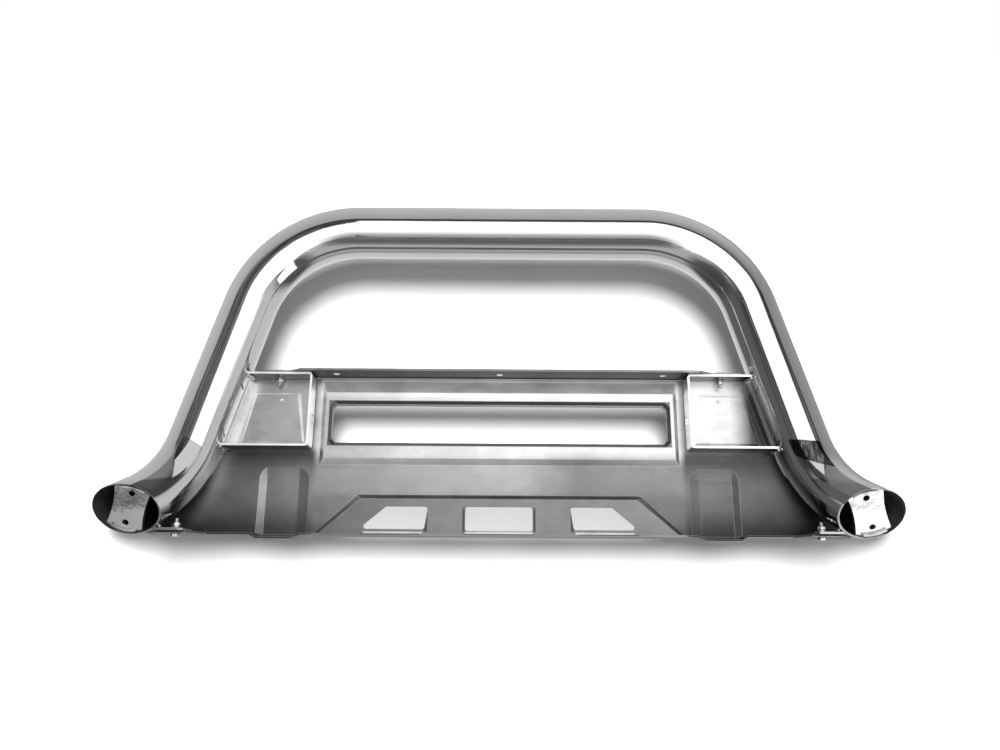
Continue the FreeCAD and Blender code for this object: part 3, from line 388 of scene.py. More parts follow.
# ------------------------------------------------------------------ satin sheet
def sheet_steel(name, tone, rough, light_and_tone, grain, edge):
    """Satin sheet: rolled grain, handling smudges, brighter sheared edges.

    Its fourth argument, a function of (net, colour), returns the colour with painted light and
    shade and the strength of a painted glint, or None for no glint.
    """
    smudge = 0.16                # depth of the handling smudges
    material, net = new_material(name)
    place = net.position()
    blot = net.noise(place, scale=7.0, detail=5.0, roughness=0.6, distortion=0.8)
    patch = net.noise(net.position((1.0, 1.0, 1.8)), scale=22.0, detail=6.0, roughness=0.62,
                      distortion=0.4)
    rolled = net.noise(net.position(grain), scale=5.0, detail=6.0, roughness=0.7)
    blot_tone = net.ramp(blot, [(0.28, tone * (1 - smudge)), (0.72, tone * (1 + smudge * 0.8))])
    colour = net.tint(blot_tone, net.ramp(patch, [(0.35, 0.90), (0.65, 1.05)]))
    colour, glint = light_and_tone(net, colour)
    mask, rounded = net.edge_mask(edge)
    colour = net.mix(mask, colour, 0.92)
    extra = {"Anisotropic": 0.35}
    if glint is not None:
        # a patchy painted highlight, given off as emission
        glint_patchiness = net.ramp(patch, [(0.30, 0.55), (0.70, 1.0)])
        # the glint is not passed on to the mirror-bright tube
        glint = net.mul(glint, net.node("LightPath").outputs["Is Camera Ray"])
        extra["Emission Color"] = (1, 1, 1, 1)
        extra["Emission Strength"] = net.mul(glint, glint_patchiness)
    noise_share, edge_share = 0.12, 0.12      # roughness from the grain, and lost at edges
    roughness = net.vary(rough - noise_share, (blot, 0.14), (rolled, noise_share))
    roughness = net.sub(roughness, net.mul(mask, edge_share), clamp=True)
    skin = net.bump(rolled, strength=0.12, distance=0.0003, normal=rounded)
    slow = net.noise(place, scale=6.0, detail=2.0)
    normal = net.bump(slow, strength=0.25, distance=0.004, normal=skin)
    net.metal(colour, roughness, normal, extra=extra)
    return material


# Zones of the skid plate: start, end, soft edge. Distance from the centre line:
PLATE_ACROSS = {
    "inner": (-1.0, 0.262, 0.004), "bracket": (0.2705, 0.39, 0.0005),
    "window": (-1.0, 0.2463, 0.0006), "panel": (0.2705, 0.376, 0.0004),
    "band": (-1.0, 0.2600, 0.001),
    "middle opening": (-1.0, 0.0475, 0.0006), "side opening": (0.1075, 0.1900, 0.0006),
    "middle jamb": (0.0475, 0.0515, 0.0006), "side jamb": (0.1005, 0.1055, 0.0006),
    "middle hole": (-1.0, 0.0045, 0.0002), "side hole": (0.2305, 0.2395, 0.0002),
}
# Height:
PLATE_UP = {
    "bracket": (0.1305, 0.234, 0.0006), "window": (0.1327, 0.1993, 0.0006),
    "recess": (0.0, 0.0605, 0.0008), "panel": (0.133, 0.2125, 0.0006),
    "lower face": (0.0, 0.118, 0.001),
    "band slope": (0.211, 0.2318, 0.0006), "band": (0.2045, 0.2318, 0.0006),
    "lip": (0.0095, 0.0128, 0.0004), "under lip": (0.0066, 0.0088, 0.0004),
    "jamb": (0.013, 0.0465, 0.002), "hole": (0.2327, 0.2362, 0.0002),
}
RECESS_SLOPE = (-1.0, 0.262, 0.001)     # distance from the centre line plus height
HOLE_DEPTH = (0.0172, 0.0272, 0.0003)   # along y
# Emission strength of each glint on the plate
PLATE_GLINT = {"panel": 0.62, "lower face": 0.055, "band slope": 0.26, "band": 0.15,
               "right bracket": 0.34, "lip": 0.62, "hole": 0.9}


def plate_painted_shading(net, x, offset, height, inner):
    """Painted light and shade: brighter or darker by height near the centre, darker towards the
    ends and on the right.
    """
    level = net.fade(height, off=0.0, on=0.24)
    inner_tone = net.ramp(level, [
        (0.0, 0.36), (0.06, 0.42), (0.12, 0.68), (0.24, 0.80), (0.29, 1.05), (0.40, 1.20),
        (0.435, 1.15), (0.450, 1.45), (0.475, 1.60), (0.49, 1.9), (0.50, 2.0), (0.86, 2.1),
        (0.885, 2.1), (0.96, 1.7), (0.975, 0.60), (1.0, 0.60)])
    outer_tone = net.ramp(level, [
        (0.0, 0.22), (0.08, 0.34), (0.20, 0.80), (0.32, 1.02), (0.40, 0.78), (0.50, 0.36),
        (0.55, 0.9), (1.0, 1.0)])
    outer_tone = net.tint(outer_tone, net.fade(offset, off=0.30, on=0.46, low=1.0, high=0.45))
    tone = net.mix(inner, outer_tone, inner_tone)
    low_right = net.mul(net.fade(x, off=0.02, on=0.11), net.fade(height, off=0.126, on=0.112))
    return net.mix(low_right, tone, net.tint(tone, net.mix(inner, 0.44, 0.56)))


def plate_painted_light(net, colour):
    """Painted light and shade on the plate: bright pad round the window, painted shade on flanges
    and in recesses, painted glints on pressed slopes.
    """
    x, y, height = net.xyz()
    offset = net.math("ABSOLUTE", x)

    def across(zone):
        return net.span(offset, *PLATE_ACROSS[zone])

    def up(zone):
        return net.span(height, *PLATE_UP[zone])

    def glow(mask, zone):
        return net.mul(mask, PLATE_GLINT[zone])

    tone = plate_painted_shading(net, x, offset, height, across("inner"))
    # painted light on the plate behind the brackets, brighter on the left than on the right
    bracket = net.mul(across("bracket"), up("bracket"))
    tone = net.mix(bracket, tone, net.mix(right_side(net, x), 2.1, 1.55))
    # dished rim round the window, given a painted dark reflection
    rim = net.mul(across("window"), up("window"))
    tone = net.mix(rim, tone, 0.55)
    # floor of the lower recess, in painted shade; its sides lean inwards at 45 degrees
    slope = net.add(offset, height)
    recess = net.mul(net.span(slope, *RECESS_SLOPE), up("recess"))
    tone = net.mix(recess, tone, 0.62)
    # pressed slopes that look rearwards
    normal_y = net.math("ABSOLUTE", net.split(net.geometry("True Normal"))[1])
    tilted = net.fade(normal_y, off=0.985, on=0.93)
    under = net.facing(DOWN, off=0.6, on=0.9)
    rear = net.facing(REAR, off=0.2, on=0.3)
    pressed = net.mul(net.mul(tilted, rear), net.inverse(rim))
    # painted shade on faces that look down
    tone = net.mix(under, tone, 0.17)

    panel = net.mul(across("panel"), up("panel"))
    right = right_side(net, x)
    panel_glint = glow(net.mul(pressed, panel), "panel")
    low_glint = glow(net.mul(pressed, up("lower face")), "lower face")
    band_glint = glow(net.mul(pressed, up("band slope")), "band slope")
    band_glint = net.add(band_glint, glow(up("band"), "band"))
    band_glint = net.mul(band_glint, across("band"))
    bracket_glint = glow(net.mul(right, bracket), "right bracket")
    glint = net.add(net.add(panel_glint, low_glint), net.add(band_glint, bracket_glint))
    glint = net.mul(glint, net.inverse(under))

    # rolled lips of the three lower openings: painted shade on the sides, painted highlight on the
    # lower lip
    opening = net.larger(across("middle opening"), across("side opening"))
    glint = net.add(glint, glow(net.mul(opening, up("lip")), "lip"))
    jamb = net.larger(across("middle jamb"), across("side jamb"))
    jamb = net.mul(jamb, up("jamb"))
    jamb = net.larger(jamb, net.mul(opening, up("under lip")))
    tone = net.mix(jamb, tone, 0.22)
    # far walls of the flange holes catch the light
    hole = net.larger(across("middle hole"), across("side hole"))
    hole = net.mul(hole, net.mul(up("hole"), net.span(y, *HOLE_DEPTH)))
    hole = net.mul(hole, net.facing(REAR, off=0.3, on=0.5))
    glint = net.add(glint, glow(hole, "hole"))
    # the right-hand panel falls into the shade of the tube
    glint_loss = 0.95            # share of the glint lost in that shade
    shade = net.mul(net.mul(bracket, right), net.fade(x, off=0.332, on=0.362))
    tone = net.mix(shade, tone, 0.22)
    glint = net.mul(glint, net.inverse(net.mul(shade, glint_loss)))
    return net.tint(colour, tone), glint


def bracket_painted_light(net, colour):
    """Painted light and shade on the brackets: painted highlights on the sheared rear edges and
    walls, painted shade on the undersides and at the far right.
    """
    edge_glint, wall_glint = 0.55, 0.42        # emission strengths
    # painted shade on faces that look down; painted reflection brightens the side walls
    tone = net.mix(net.facing(DOWN, off=0.6, on=0.9), 1.0, 0.40)
    sides = net.larger(net.facing(RIGHT, off=0.7, on=0.95), net.facing(LEFT, off=0.7, on=0.95))
    colour = net.tint(colour, net.mix(sides, tone, 1.5))
    edge = net.facing(REAR, off=0.7, on=0.95)
    x, _, height = net.xyz()
    wall = net.mul(sides, net.span(height, start=0.120, end=0.212, soft=0.003))
    shade = net.mul(net.fade(x, off=0.335, on=0.352), net.inverse(edge))
    colour = net.mix(shade, colour, net.tint(colour, 0.16))
    wall = net.mul(wall, net.inverse(shade))
    # painted highlight on the rear edges
    lit = net.mul(edge, net.fade(height, off=0.06, on=0.10))
    glint = net.add(net.mul(lit, edge_glint), net.mul(wall, wall_glint))
    return net.mix(lit, colour, 1.0), glint


def end_plate_mottle_and_painted_light(net, colour):
    """Galvanised-looking mottling and bright spatter, brighter towards the lower tips; painted
    light makes the right end plate brighter than the left.
    """
    place = net.position()
    cells = net.node("TexVoronoi", {"Scale": 150.0, "Vector": place}).outputs["Distance"]
    cell_tone = net.ramp(cells, [(0.0, 1.25), (0.25, 1.0), (0.8, 0.85)])
    mottle = net.noise(place, scale=45.0, detail=4.0, roughness=0.7)
    mottle_tone = net.ramp(mottle, [(0.35, 0.75), (0.65, 1.25)])
    colour = net.tint(colour, cell_tone)
    colour = net.tint(colour, mottle_tone)
    x, _, height = net.xyz()
    # painted light: the right end plate brighter than the left
    colour = net.tint(colour, net.fade(x, off=-0.1, on=0.1, low=1.35, high=1.9))
    low = net.fade(height, off=MOUTH.z + 0.006, on=MOUTH.z - 0.010)
    spatter = net.noise(place, scale=260.0, detail=3.0, roughness=0.8)
    colour = net.tint(colour, net.ramp(spatter, [(0.40, 0.75), (0.52, 1.0), (0.60, 1.35),
                                                 (0.66, 2.2)]))
    colour = net.tint(colour, net.mix(low, 0.85, 2.3))
    return colour, None


# ------------------------------------------------------------------ welds and fasteners
def weld_metal():
    material, net = new_material("weld_bead")
    place = net.position()
    fine = net.noise(place, scale=220.0)
    stain = net.noise(place, scale=60.0)
    colour = net.ramp(stain, [(0.3, (0.42, 0.39, 0.34, 1)), (0.5, (0.78, 0.77, 0.75, 1)),
                              (0.75, (0.95, 0.95, 0.94, 1))])
    net.metal(colour, net.vary(0.15, (fine, 0.3)), net.bump(fine, strength=0.5, distance=0.0004))
    return material


def fastener_metal():
    material, net = new_material("bright_fastener")
    place = net.position()
    fine = net.noise(place, scale=400.0)
    cloud = net.noise(place, scale=90.0, detail=3.0)
    colour = net.ramp(cloud, [(0.3, 0.62), (0.7, 0.82)])
    mask, rounded = net.edge_mask(radius=0.0004)
    net.metal(net.mix(mask, colour, 0.95), net.vary(0.12, (fine, 0.18)),
              net.bump(fine, strength=0.15, distance=0.0002, normal=rounded))
    return material


BORE = raw_bore_in_painted_shade()
TUBE = polished_steel()
PLATE = sheet_steel("skid_plate_satin", tone=0.44, rough=0.34, light_and_tone=plate_painted_light,
                    grain=(6, 260, 6), edge=0.0012)
BRACKET = sheet_steel("bracket_satin", tone=0.62, rough=0.36, light_and_tone=bracket_painted_light,
                      grain=(260, 6, 6), edge=0.0010)
END_PLATE = sheet_steel("end_plate_satin", tone=0.50, rough=0.34, light_and_tone=end_plate_mottle_and_painted_light,
                        grain=(260, 6, 6), edge=0.0010)
WELD = weld_metal()
FASTENER = fastener_metal()

# ------------------------------------------------------------------ CAD pieces that stay
for name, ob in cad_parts.items():
    material = BRACKET
    if name == "skid_plate":
        material = PLATE
    elif "end_plate" in name:
        material = END_PLATE
    ob.data.materials.clear()
    ob.data.materials.append(material)
    ob.data.polygons.foreach_set("use_smooth", [True] * len(ob.data.polygons))
    ob.data.set_sharp_from_angle(angle=math.radians(28))

# ------------------------------------------------------------------ hoop tube
HOOP_SEGMENTS = 96
STRAIGHT_STEPS, SHOULDER_STEPS, FOOT_STEPS = 8, 48, 40
MOUTH_GAP = 0.0006               # least distance of the last full ring from the cut
# rounded lip of the mouth: radius, distance back from the cut
MOUTH_LIP = [
    (TUBE_RADIUS, 0.0004), (TUBE_RADIUS - 0.00015, 0.0001), (TUBE_RADIUS - 0.0004, 0.0),
    (BORE_RADIUS + 0.0004, 0.0), (BORE_RADIUS + 0.00015, 0.0001), (BORE_RADIUS, 0.0004),
]


def hoop_frames():
    """Point and two cross axes, without twist, from the top centre to the end of the foot bend."""
    path = [(Vector((TOP_HALF * i / STRAIGHT_STEPS, HOOP_Y, TOP_Z)), Vector((1, 0, 0)))
            for i in range(STRAIGHT_STEPS + 1)]
    path += [shoulder_at(SHOULDER_TURN * i / SHOULDER_STEPS) for i in range(1, SHOULDER_STEPS + 1)]
    path += [(LEG_TOP + LEG_DIR * (LEG_LENGTH * i / STRAIGHT_STEPS), LEG_DIR)
             for i in range(1, STRAIGHT_STEPS + 1)]
    path += [foot_at(FOOT_TURN * i / FOOT_STEPS) for i in range(1, FOOT_STEPS + 1)]
    frames = []
    up = Vector((0, 0, 1))
    previous = path[0][1]
    for point, direction in path:
        up = previous.rotation_difference(direction) @ up
        up = (up - direction * up.dot(direction)).normalized()
        frames.append((point, up, direction.cross(up)))
        previous = direction
    return frames


def hoop_rings(frames):
    """Rings of the right half: along the outside, round the mouth and back along the bore."""
    def ring(centre, up, across, radius):
        angles = [2 * math.pi * k / HOOP_SEGMENTS for k in range(HOOP_SEGMENTS)]
        return [centre + (up * math.cos(a) + across * math.sin(a)) * radius for a in angles]

    def to_mouth(vertex):
        return -((vertex - MOUTH).dot(MOUTH_NORMAL)) / MOUTH_COS

    def last_ring(radius):
        return [v + FOOT_DIR * min(0.0, to_mouth(v) - MOUTH_GAP)
                for v in ring(*frames[-1], radius)]

    up, across = frames[-1][1:]
    rings = [ring(*axes, TUBE_RADIUS) for axes in frames[:-1]]
    rings.append(last_ring(TUBE_RADIUS))
    for radius, back in MOUTH_LIP:
        rings.append([v + FOOT_DIR * (to_mouth(v) - back)
                      for v in ring(MOUTH, up, across, radius)])
    rings.append(last_ring(BORE_RADIUS))
    rings += [ring(*axes, BORE_RADIUS) for axes in reversed(frames[:-1])]
    return rings


def add_foot_attributes(mesh):
    """Distance past the start of the foot bend (mm) and angle round the tube (degrees)."""
    along, around = [], []
    side_dir = FOOT_INWARD.cross(LEG_DIR)
    for vertex in mesh.vertices:
        place = Vector((abs(vertex.co.x), vertex.co.y, vertex.co.z)) - LEG_BOTTOM
        down, inward, sideways = place.dot(LEG_DIR), place.dot(FOOT_INWARD), place.dot(side_dir)
        if down < 0:
            along.append(down * 1000)
            around.append(math.degrees(math.atan2(sideways, inward)))
        else:
            to_centre = FOOT_RADIUS - inward
            along.append(math.atan2(down, to_centre) * FOOT_RADIUS * 1000)
            around.append(math.degrees(math.atan2(
                sideways, FOOT_RADIUS - math.hypot(down, to_centre))))
    mesh.attributes.new("along", "FLOAT", "POINT").data.foreach_set("value", along)
    mesh.attributes.new("around", "FLOAT", "POINT").data.foreach_set("value", around)


def assign_bore(mesh, frames):
    """Second material on faces that look at the centreline from the bore."""
    axis = [axes[0] for axes in frames] + [MOUTH + FOOT_DIR * (0.004 * i) for i in range(1, 12)]
    reach = (BORE_RADIUS + 0.0004) ** 2 * 1.05
    least_inward = 0.010
    for face in mesh.polygons:
        side = 1 if face.center.x >= 0 else -1
        centre = mirrored(face.center, side)
        nearest = min(axis, key=lambda point: (centre - point).length_squared)
        inward = (nearest - centre).dot(mirrored(face.normal, side))
        if inward > least_inward and (centre - nearest).length_squared < reach:
            face.material_index = 1


def hoop():
    frames = hoop_frames()
    rings = hoop_rings(frames)
    verts = [mirrored(v, side) for side in (1, -1) for ring in rings for v in ring]
    half = len(rings) * HOOP_SEGMENTS
    faces = stitch(len(rings), HOOP_SEGMENTS)
    faces += [tuple(i + half for i in reversed(face)) for face in faces]
    mesh = bpy.data.meshes.new("hoop_tube_polished")
    mesh.from_pydata([tuple(v) for v in verts], [], faces)
    bm = bmesh.new()
    bm.from_mesh(mesh)
    bmesh.ops.remove_doubles(bm, verts=bm.verts[:], dist=1e-6)
    bmesh.ops.recalc_face_normals(bm, faces=bm.faces[:])
    bm.to_mesh(mesh)
    bm.free()
    mesh.polygons.foreach_set("use_smooth", [True] * len(mesh.polygons))
    mesh.set_sharp_from_angle(angle=math.radians(50))
    mesh.materials.append(TUBE)
    mesh.materials.append(BORE)
    add_foot_attributes(mesh)
    assign_bore(mesh, frames)
    return link_object("hoop_tube_polished", mesh)


register(hoop(), "hoop_tube")

# ------------------------------------------------------------------ weld beads
RIPPLE_PITCH = 0.0017
BEAD_SEGMENTS = 16
BEAD_LIFT = 0.05 * MM            # clearance between a bead and the face it lies on
# end beads: middle of the plate inside the mouth, and axes in its plane
END_CENTRE = MOUTH - FOOT_DIR * (3.0 * MM / MOUTH_COS)
END_MAJOR = (FOOT_DIR - MOUTH_NORMAL * MOUTH_COS).normalized()
END_MINOR = MOUTH_NORMAL.cross(END_MAJOR)
END_CURVE = BORE_RADIUS / (MOUTH_COS ** 2)   # radius of the oval bore where it is flattest


def bead(points, seed):
    """A rippled bead along points, with rounded ends."""
    verts = []
    travelled = [0.0]
    for a, b in zip(points, points[1:]):
        travelled.append(travelled[-1] + (b - a).length)
    round_length = BEAD_RADIUS * 0.8
    last = len(points) - 1
    for i, p in enumerate(points):
        direction = (points[min(i + 1, last)] - points[max(i - 1, 0)]).normalized()
        reference = Vector((0, 0, 1)) if abs(direction.z) < 0.9 else Vector((1, 0, 0))
        across = direction.cross(reference).normalized()
        up = direction.cross(across)
        from_end = min(travelled[i], travelled[-1] - travelled[i])
        cap = math.sqrt(max(0.0, 1 - max(0.0, 1 - from_end / round_length) ** 2))
        phase = (travelled[i] / RIPPLE_PITCH) % 1.0
        ripple = 0.80 + 0.18 * math.sqrt(max(0.0, 1 - (2 * phase - 1) ** 2))
        for k in range(BEAD_SEGMENTS):
            angle = 2 * math.pi * k / BEAD_SEGMENTS
            out = across * math.cos(angle) + up * math.sin(angle)
            rough = noise.noise(Vector((p.x * 300 + seed, p.y * 300, p.z * 300)) + out * 0.7)
            verts.append(p + out * BEAD_RADIUS * max(0.02, cap * (ripple + 0.07 * rough)))
    return verts, stitch(len(points), BEAD_SEGMENTS) + end_caps(len(points), BEAD_SEGMENTS)


def end_beads(side):
    """Two arcs inside the mouth, on opposite sides of the end plate."""
    inset = 0.9 * MM
    steps, start, sweep, skew = 60, -21.5, 43, -11.5     # angles in degrees
    radius = (BORE_RADIUS - BEAD_RADIUS - inset) - (BORE_RADIUS - END_CURVE)
    parts = []
    for k in (1, -1):
        centre = (BORE_RADIUS - END_CURVE) * k
        points = []
        for i in range(steps + 1):
            angle = math.radians(skew * k + start + sweep * i / steps)
            local = (END_MAJOR * (radius * math.sin(angle))
                     + END_MINOR * (centre + radius * math.cos(angle) * k)
                     + MOUTH_NORMAL * (BEAD_RADIUS + BEAD_LIFT))
            points.append(mirrored(END_CENTRE + local, side))
        parts.append(bead(points, seed=3.0 * k + side))
    return parts


def bracket_beads(side, name):
    """Arcs round the inner side of the leg, below the plate's top and the upper bracket."""
    top_drop, gap = 6 * MM, 0.75 * MM
    steps, half_sweep = 48, 19                           # degrees
    radius = TUBE_RADIUS / math.sin(SHOULDER_TURN) + BEAD_RADIUS + gap
    parts = []
    for under in (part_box("skid_plate")[1].z - top_drop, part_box(name + "_upper_bracket")[0].z):
        z = under - BEAD_RADIUS - BEAD_LIFT
        leg_x = LEG_TOP.x + (LEG_TOP.z - z) * math.cos(SHOULDER_TURN) / math.sin(SHOULDER_TURN)
        points = []
        for i in range(steps + 1):
            angle = math.radians(-half_sweep + 2 * half_sweep * i / steps)
            points.append(Vector(((leg_x - radius * math.cos(angle)) * side,
                                  HOOP_Y + radius * math.sin(angle), z)))
        parts.append(bead(points, seed=7.0 + z * 100 + side))
    return parts


def tab_bead(side, name):
    """Straight bead from the outer front to the inner rear of the tab weld."""
    steps, end_inset = 28, 0.0002
    lo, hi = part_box(name + "_tab_weld")
    z = (lo.z + hi.z) / 2
    outer, inner = hi.x - BEAD_RADIUS, lo.x + BEAD_RADIUS
    if side < 0:
        outer, inner = inner, outer
    start = Vector((outer, hi.y - end_inset, z))
    end = Vector((inner, lo.y + end_inset, z))
    return [bead([start.lerp(end, i / steps) for i in range(steps + 1)], seed=11.0 + side)]


def weld_piece(name, parts, node):
    ob = merged(name, parts, sharp_angle=40)
    ob.data.materials.append(WELD)
    register(ob, node)


for side, name in ((1, "right"), (-1, "left")):
    weld_piece(name + "_end_weld_beads", end_beads(side), name + "_end_welds")
    weld_piece(name + "_bracket_weld_beads", bracket_beads(side, name), name + "_bracket_welds")
    weld_piece(name + "_tab_weld_bead", tab_bead(side, name), name + "_tab_weld")

# ------------------------------------------------------------------ fasteners
HEX_SEGMENTS = 96
HEX_FULL = HEX_FLATS / 2 * 1.16  # beyond the corners, so the hexagon is not rounded


def hex_lathe(centre, levels, start):
    """Rings at (z, radius) levels, cut to the hexagon."""
    verts = []
    for z, radius in levels:
        for k in range(HEX_SEGMENTS):
            from_flat = (360.0 * k / HEX_SEGMENTS + 30) % 60 - 30
            cut = min(radius, HEX_FLATS / 2 / math.cos(math.radians(from_flat)))
            verts.append(polar(centre, cut, 2 * math.pi * k / HEX_SEGMENTS + start, z))
    return verts, stitch(len(levels), HEX_SEGMENTS)


def bolt_head(centre, free, seat, way, start):
    """Head from its free face to its seat; way is +1 where the shank points up."""
    levels = [(free, HEX_FLATS / 2 * 0.93), (free + way * 0.0006, HEX_FULL),
              (seat - way * 0.0003, HEX_FULL), (seat, HEX_FLATS / 2 * 0.98)][::way]
    verts, faces = hex_lathe(centre, levels, start)
    bottom, top = end_caps(len(levels), HEX_SEGMENTS)
    return verts, faces + [tuple(reversed(bottom)), top]


def threaded_shank(centre, z0, z1):
    """Shank with a helical thread and a tapered tip at z1, which may be above or below z0."""
    segments, step, taper_steps = 36, 0.000125, 7.0
    pitch, depth, tip_taper = 0.001, 0.00055, 0.0006
    steps = int(abs(z1 - z0) / step)
    verts = []
    for i in range(steps + 1):
        z = z0 + (z1 - z0) * i / steps
        left = min(1.0, (steps - i) / taper_steps)
        for k in range(segments):
            wave = abs(2 * ((z / pitch - k / segments) % 1.0) - 1)
            radius = SHANK_RADIUS - depth * min(1.0, max(0.0, wave * 1.25 - 0.12))
            if left < 1:
                radius = min(radius, SHANK_RADIUS - depth * 0.2 - (1 - left) * tip_taper)
            verts.append(polar(centre, radius, 2 * math.pi * k / segments, z))
    return verts, stitch(steps + 1, segments) + end_caps(steps + 1, segments)


def nut(centre, z0, z1, start):
    """Hexagon nut with a ridged bore."""
    bore, bevel, groove = 3.05 * MM, 0.0005, 0.00035
    corner = 0.0007              # height of the chamfered corners
    face = HEX_FLATS / 2 * 0.97
    height = z1 - z0
    levels = [(z0, face), (z0 + corner, HEX_FULL), (z1 - corner, HEX_FULL), (z1, face),
              (z1, bore + bevel), (z1 - bevel, bore)]
    steps = int(height / 0.00025)
    for i in range(1, steps):
        levels.append((z1 - bevel - (height - 2 * bevel) * i / steps,
                       bore - (groove if i % 4 < 2 else 0.0)))
    levels += [(z0 + bevel, bore), (z0, bore + bevel), (z0, face)]
    return hex_lathe(centre, levels, start)


def washer_profile(r_out, r_in, z0, z1, bevel):
    """Bevelled section of a washer: radius, z."""
    return [(r_out - bevel, z0), (r_out, z0 + bevel), (r_out, z1 - bevel), (r_out - bevel, z1),
            (r_in + bevel, z1), (r_in, z1 - bevel), (r_in, z0 + bevel), (r_in + bevel, z0)]


def washer(centre, z0, z1):
    segments = 72
    profile = washer_profile(r_out=6 * MM, r_in=3.2 * MM, z0=z0, z1=z1, bevel=0.0002)
    verts = [polar(centre, radius, 2 * math.pi * k / segments, z)
             for k in range(segments) for radius, z in profile]
    return verts, stitch(segments, len(profile), closed=True)


def lock_washer(centre, z0, z1, start):
    """Split spring washer, slightly wound."""
    segments, sweep = 64, math.radians(348)
    thick = (z1 - z0) * 0.86
    profile = washer_profile(r_out=5.5 * MM, r_in=3.2 * MM, z0=0.0, z1=thick, bevel=0.00015)
    verts = []
    for k in range(segments + 1):
        turn = k / segments
        lift = z0 + (z1 - z0 - thick) * turn
        verts += [polar(centre, radius, start + sweep * turn, lift + z) for radius, z in profile]
    size = len(profile)
    return verts, stitch(segments + 1, size) + end_caps(segments + 1, size)


def fastener_group(group, way):
    """Left and right bolt sets; way is +1 for shanks pointing up, -1 for down."""
    lo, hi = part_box(group + "_bolts")
    free, tip = (lo.z, hi.z) if way > 0 else (hi.z, lo.z)
    seat = free + way * HEAD_HEIGHT
    heights = {kind: [corner.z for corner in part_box(group + "_" + kind)]
               for kind in ("washers", "lock_washers", "nuts")}
    parts = {"bolts": [], "washers": [], "lock_washers": [], "nuts": []}
    for side, start in ((1, math.radians(17)), (-1, math.radians(41))):
        centre = Vector(((hi.x - HEX_FLATS / 2) * side, (lo.y + hi.y) / 2, 0))
        parts["bolts"].append(bolt_head(centre, free, seat, way, start))
        parts["bolts"].append(threaded_shank(centre, seat - way * 0.0002, tip))
        parts["washers"].append(washer(centre, *heights["washers"]))
        parts["lock_washers"].append(lock_washer(centre, *heights["lock_washers"], start + 1.9))
        parts["nuts"].append(nut(centre, *heights["nuts"], start + 0.3))
    for kind, pieces in parts.items():
        ob = merged("%s_%s_detailed" % (group, kind), pieces, sharp_angle=35)
        ob.data.materials.append(FASTENER)
        register(ob, "%s_%s" % (group, kind))


fastener_group("upper", way=-1)
fastener_group("lower", way=1)

# ------------------------------------------------------------------ stage
scene = bpy.context.scene
scene.view_settings.view_transform = "Standard"
scene.view_settings.look = "None"

BACKDROP_Y = HOOP_Y + 0.085
GOBO_Y = HOOP_Y + 0.030
GOBO_HIDDEN = ("camera", "glossy", "diffuse", "transmission")


def emission(name, strength):
    material, net = new_material(name)
    net.surface(net.node("Emission", {"Color": (1, 1, 1, 1), "Strength": strength}).outputs[0])
    return material


def upright(x0, x1, y, z0, z1):
    return [(x0, y, z0), (x1, y, z0), (x1, y, z1), (x0, y, z1)]


def level(x0, x1, y0, y1, z):
    return [(x0, y0, z), (x1, y0, z), (x1, y1, z), (x0, y1, z)]


def set_stage(ob, material, hidden):
    """Give a stage piece its material and hide it from the named kinds of ray."""
    ob.data.materials.append(material)
    for ray in hidden:
        setattr(ob, "visible_" + ray, False)


def stage_panel(name, corners, material, hidden):
    set_stage(mesh_object(name, corners, [tuple(range(len(corners)))]), material, hidden)


def floor_material():
    """Pale and faintly glowing; see-through from below."""
    material, net = new_material("pale_floor")
    cloud = net.noise(net.position(), scale=3.0, detail=3.0)
    paint = net.node("BsdfPrincipled", {
        "Base Color": net.ramp(cloud, [(0.3, 0.90), (0.7, 0.94)]), "Roughness": 0.9,
        "Emission Color": (1, 1, 1, 1), "Emission Strength": 0.45}).outputs[0]
    clear = net.node("BsdfTransparent").outputs[0]
    net.surface(net.mix_shader(net.geometry("Backfacing"), paint, clear))
    return material


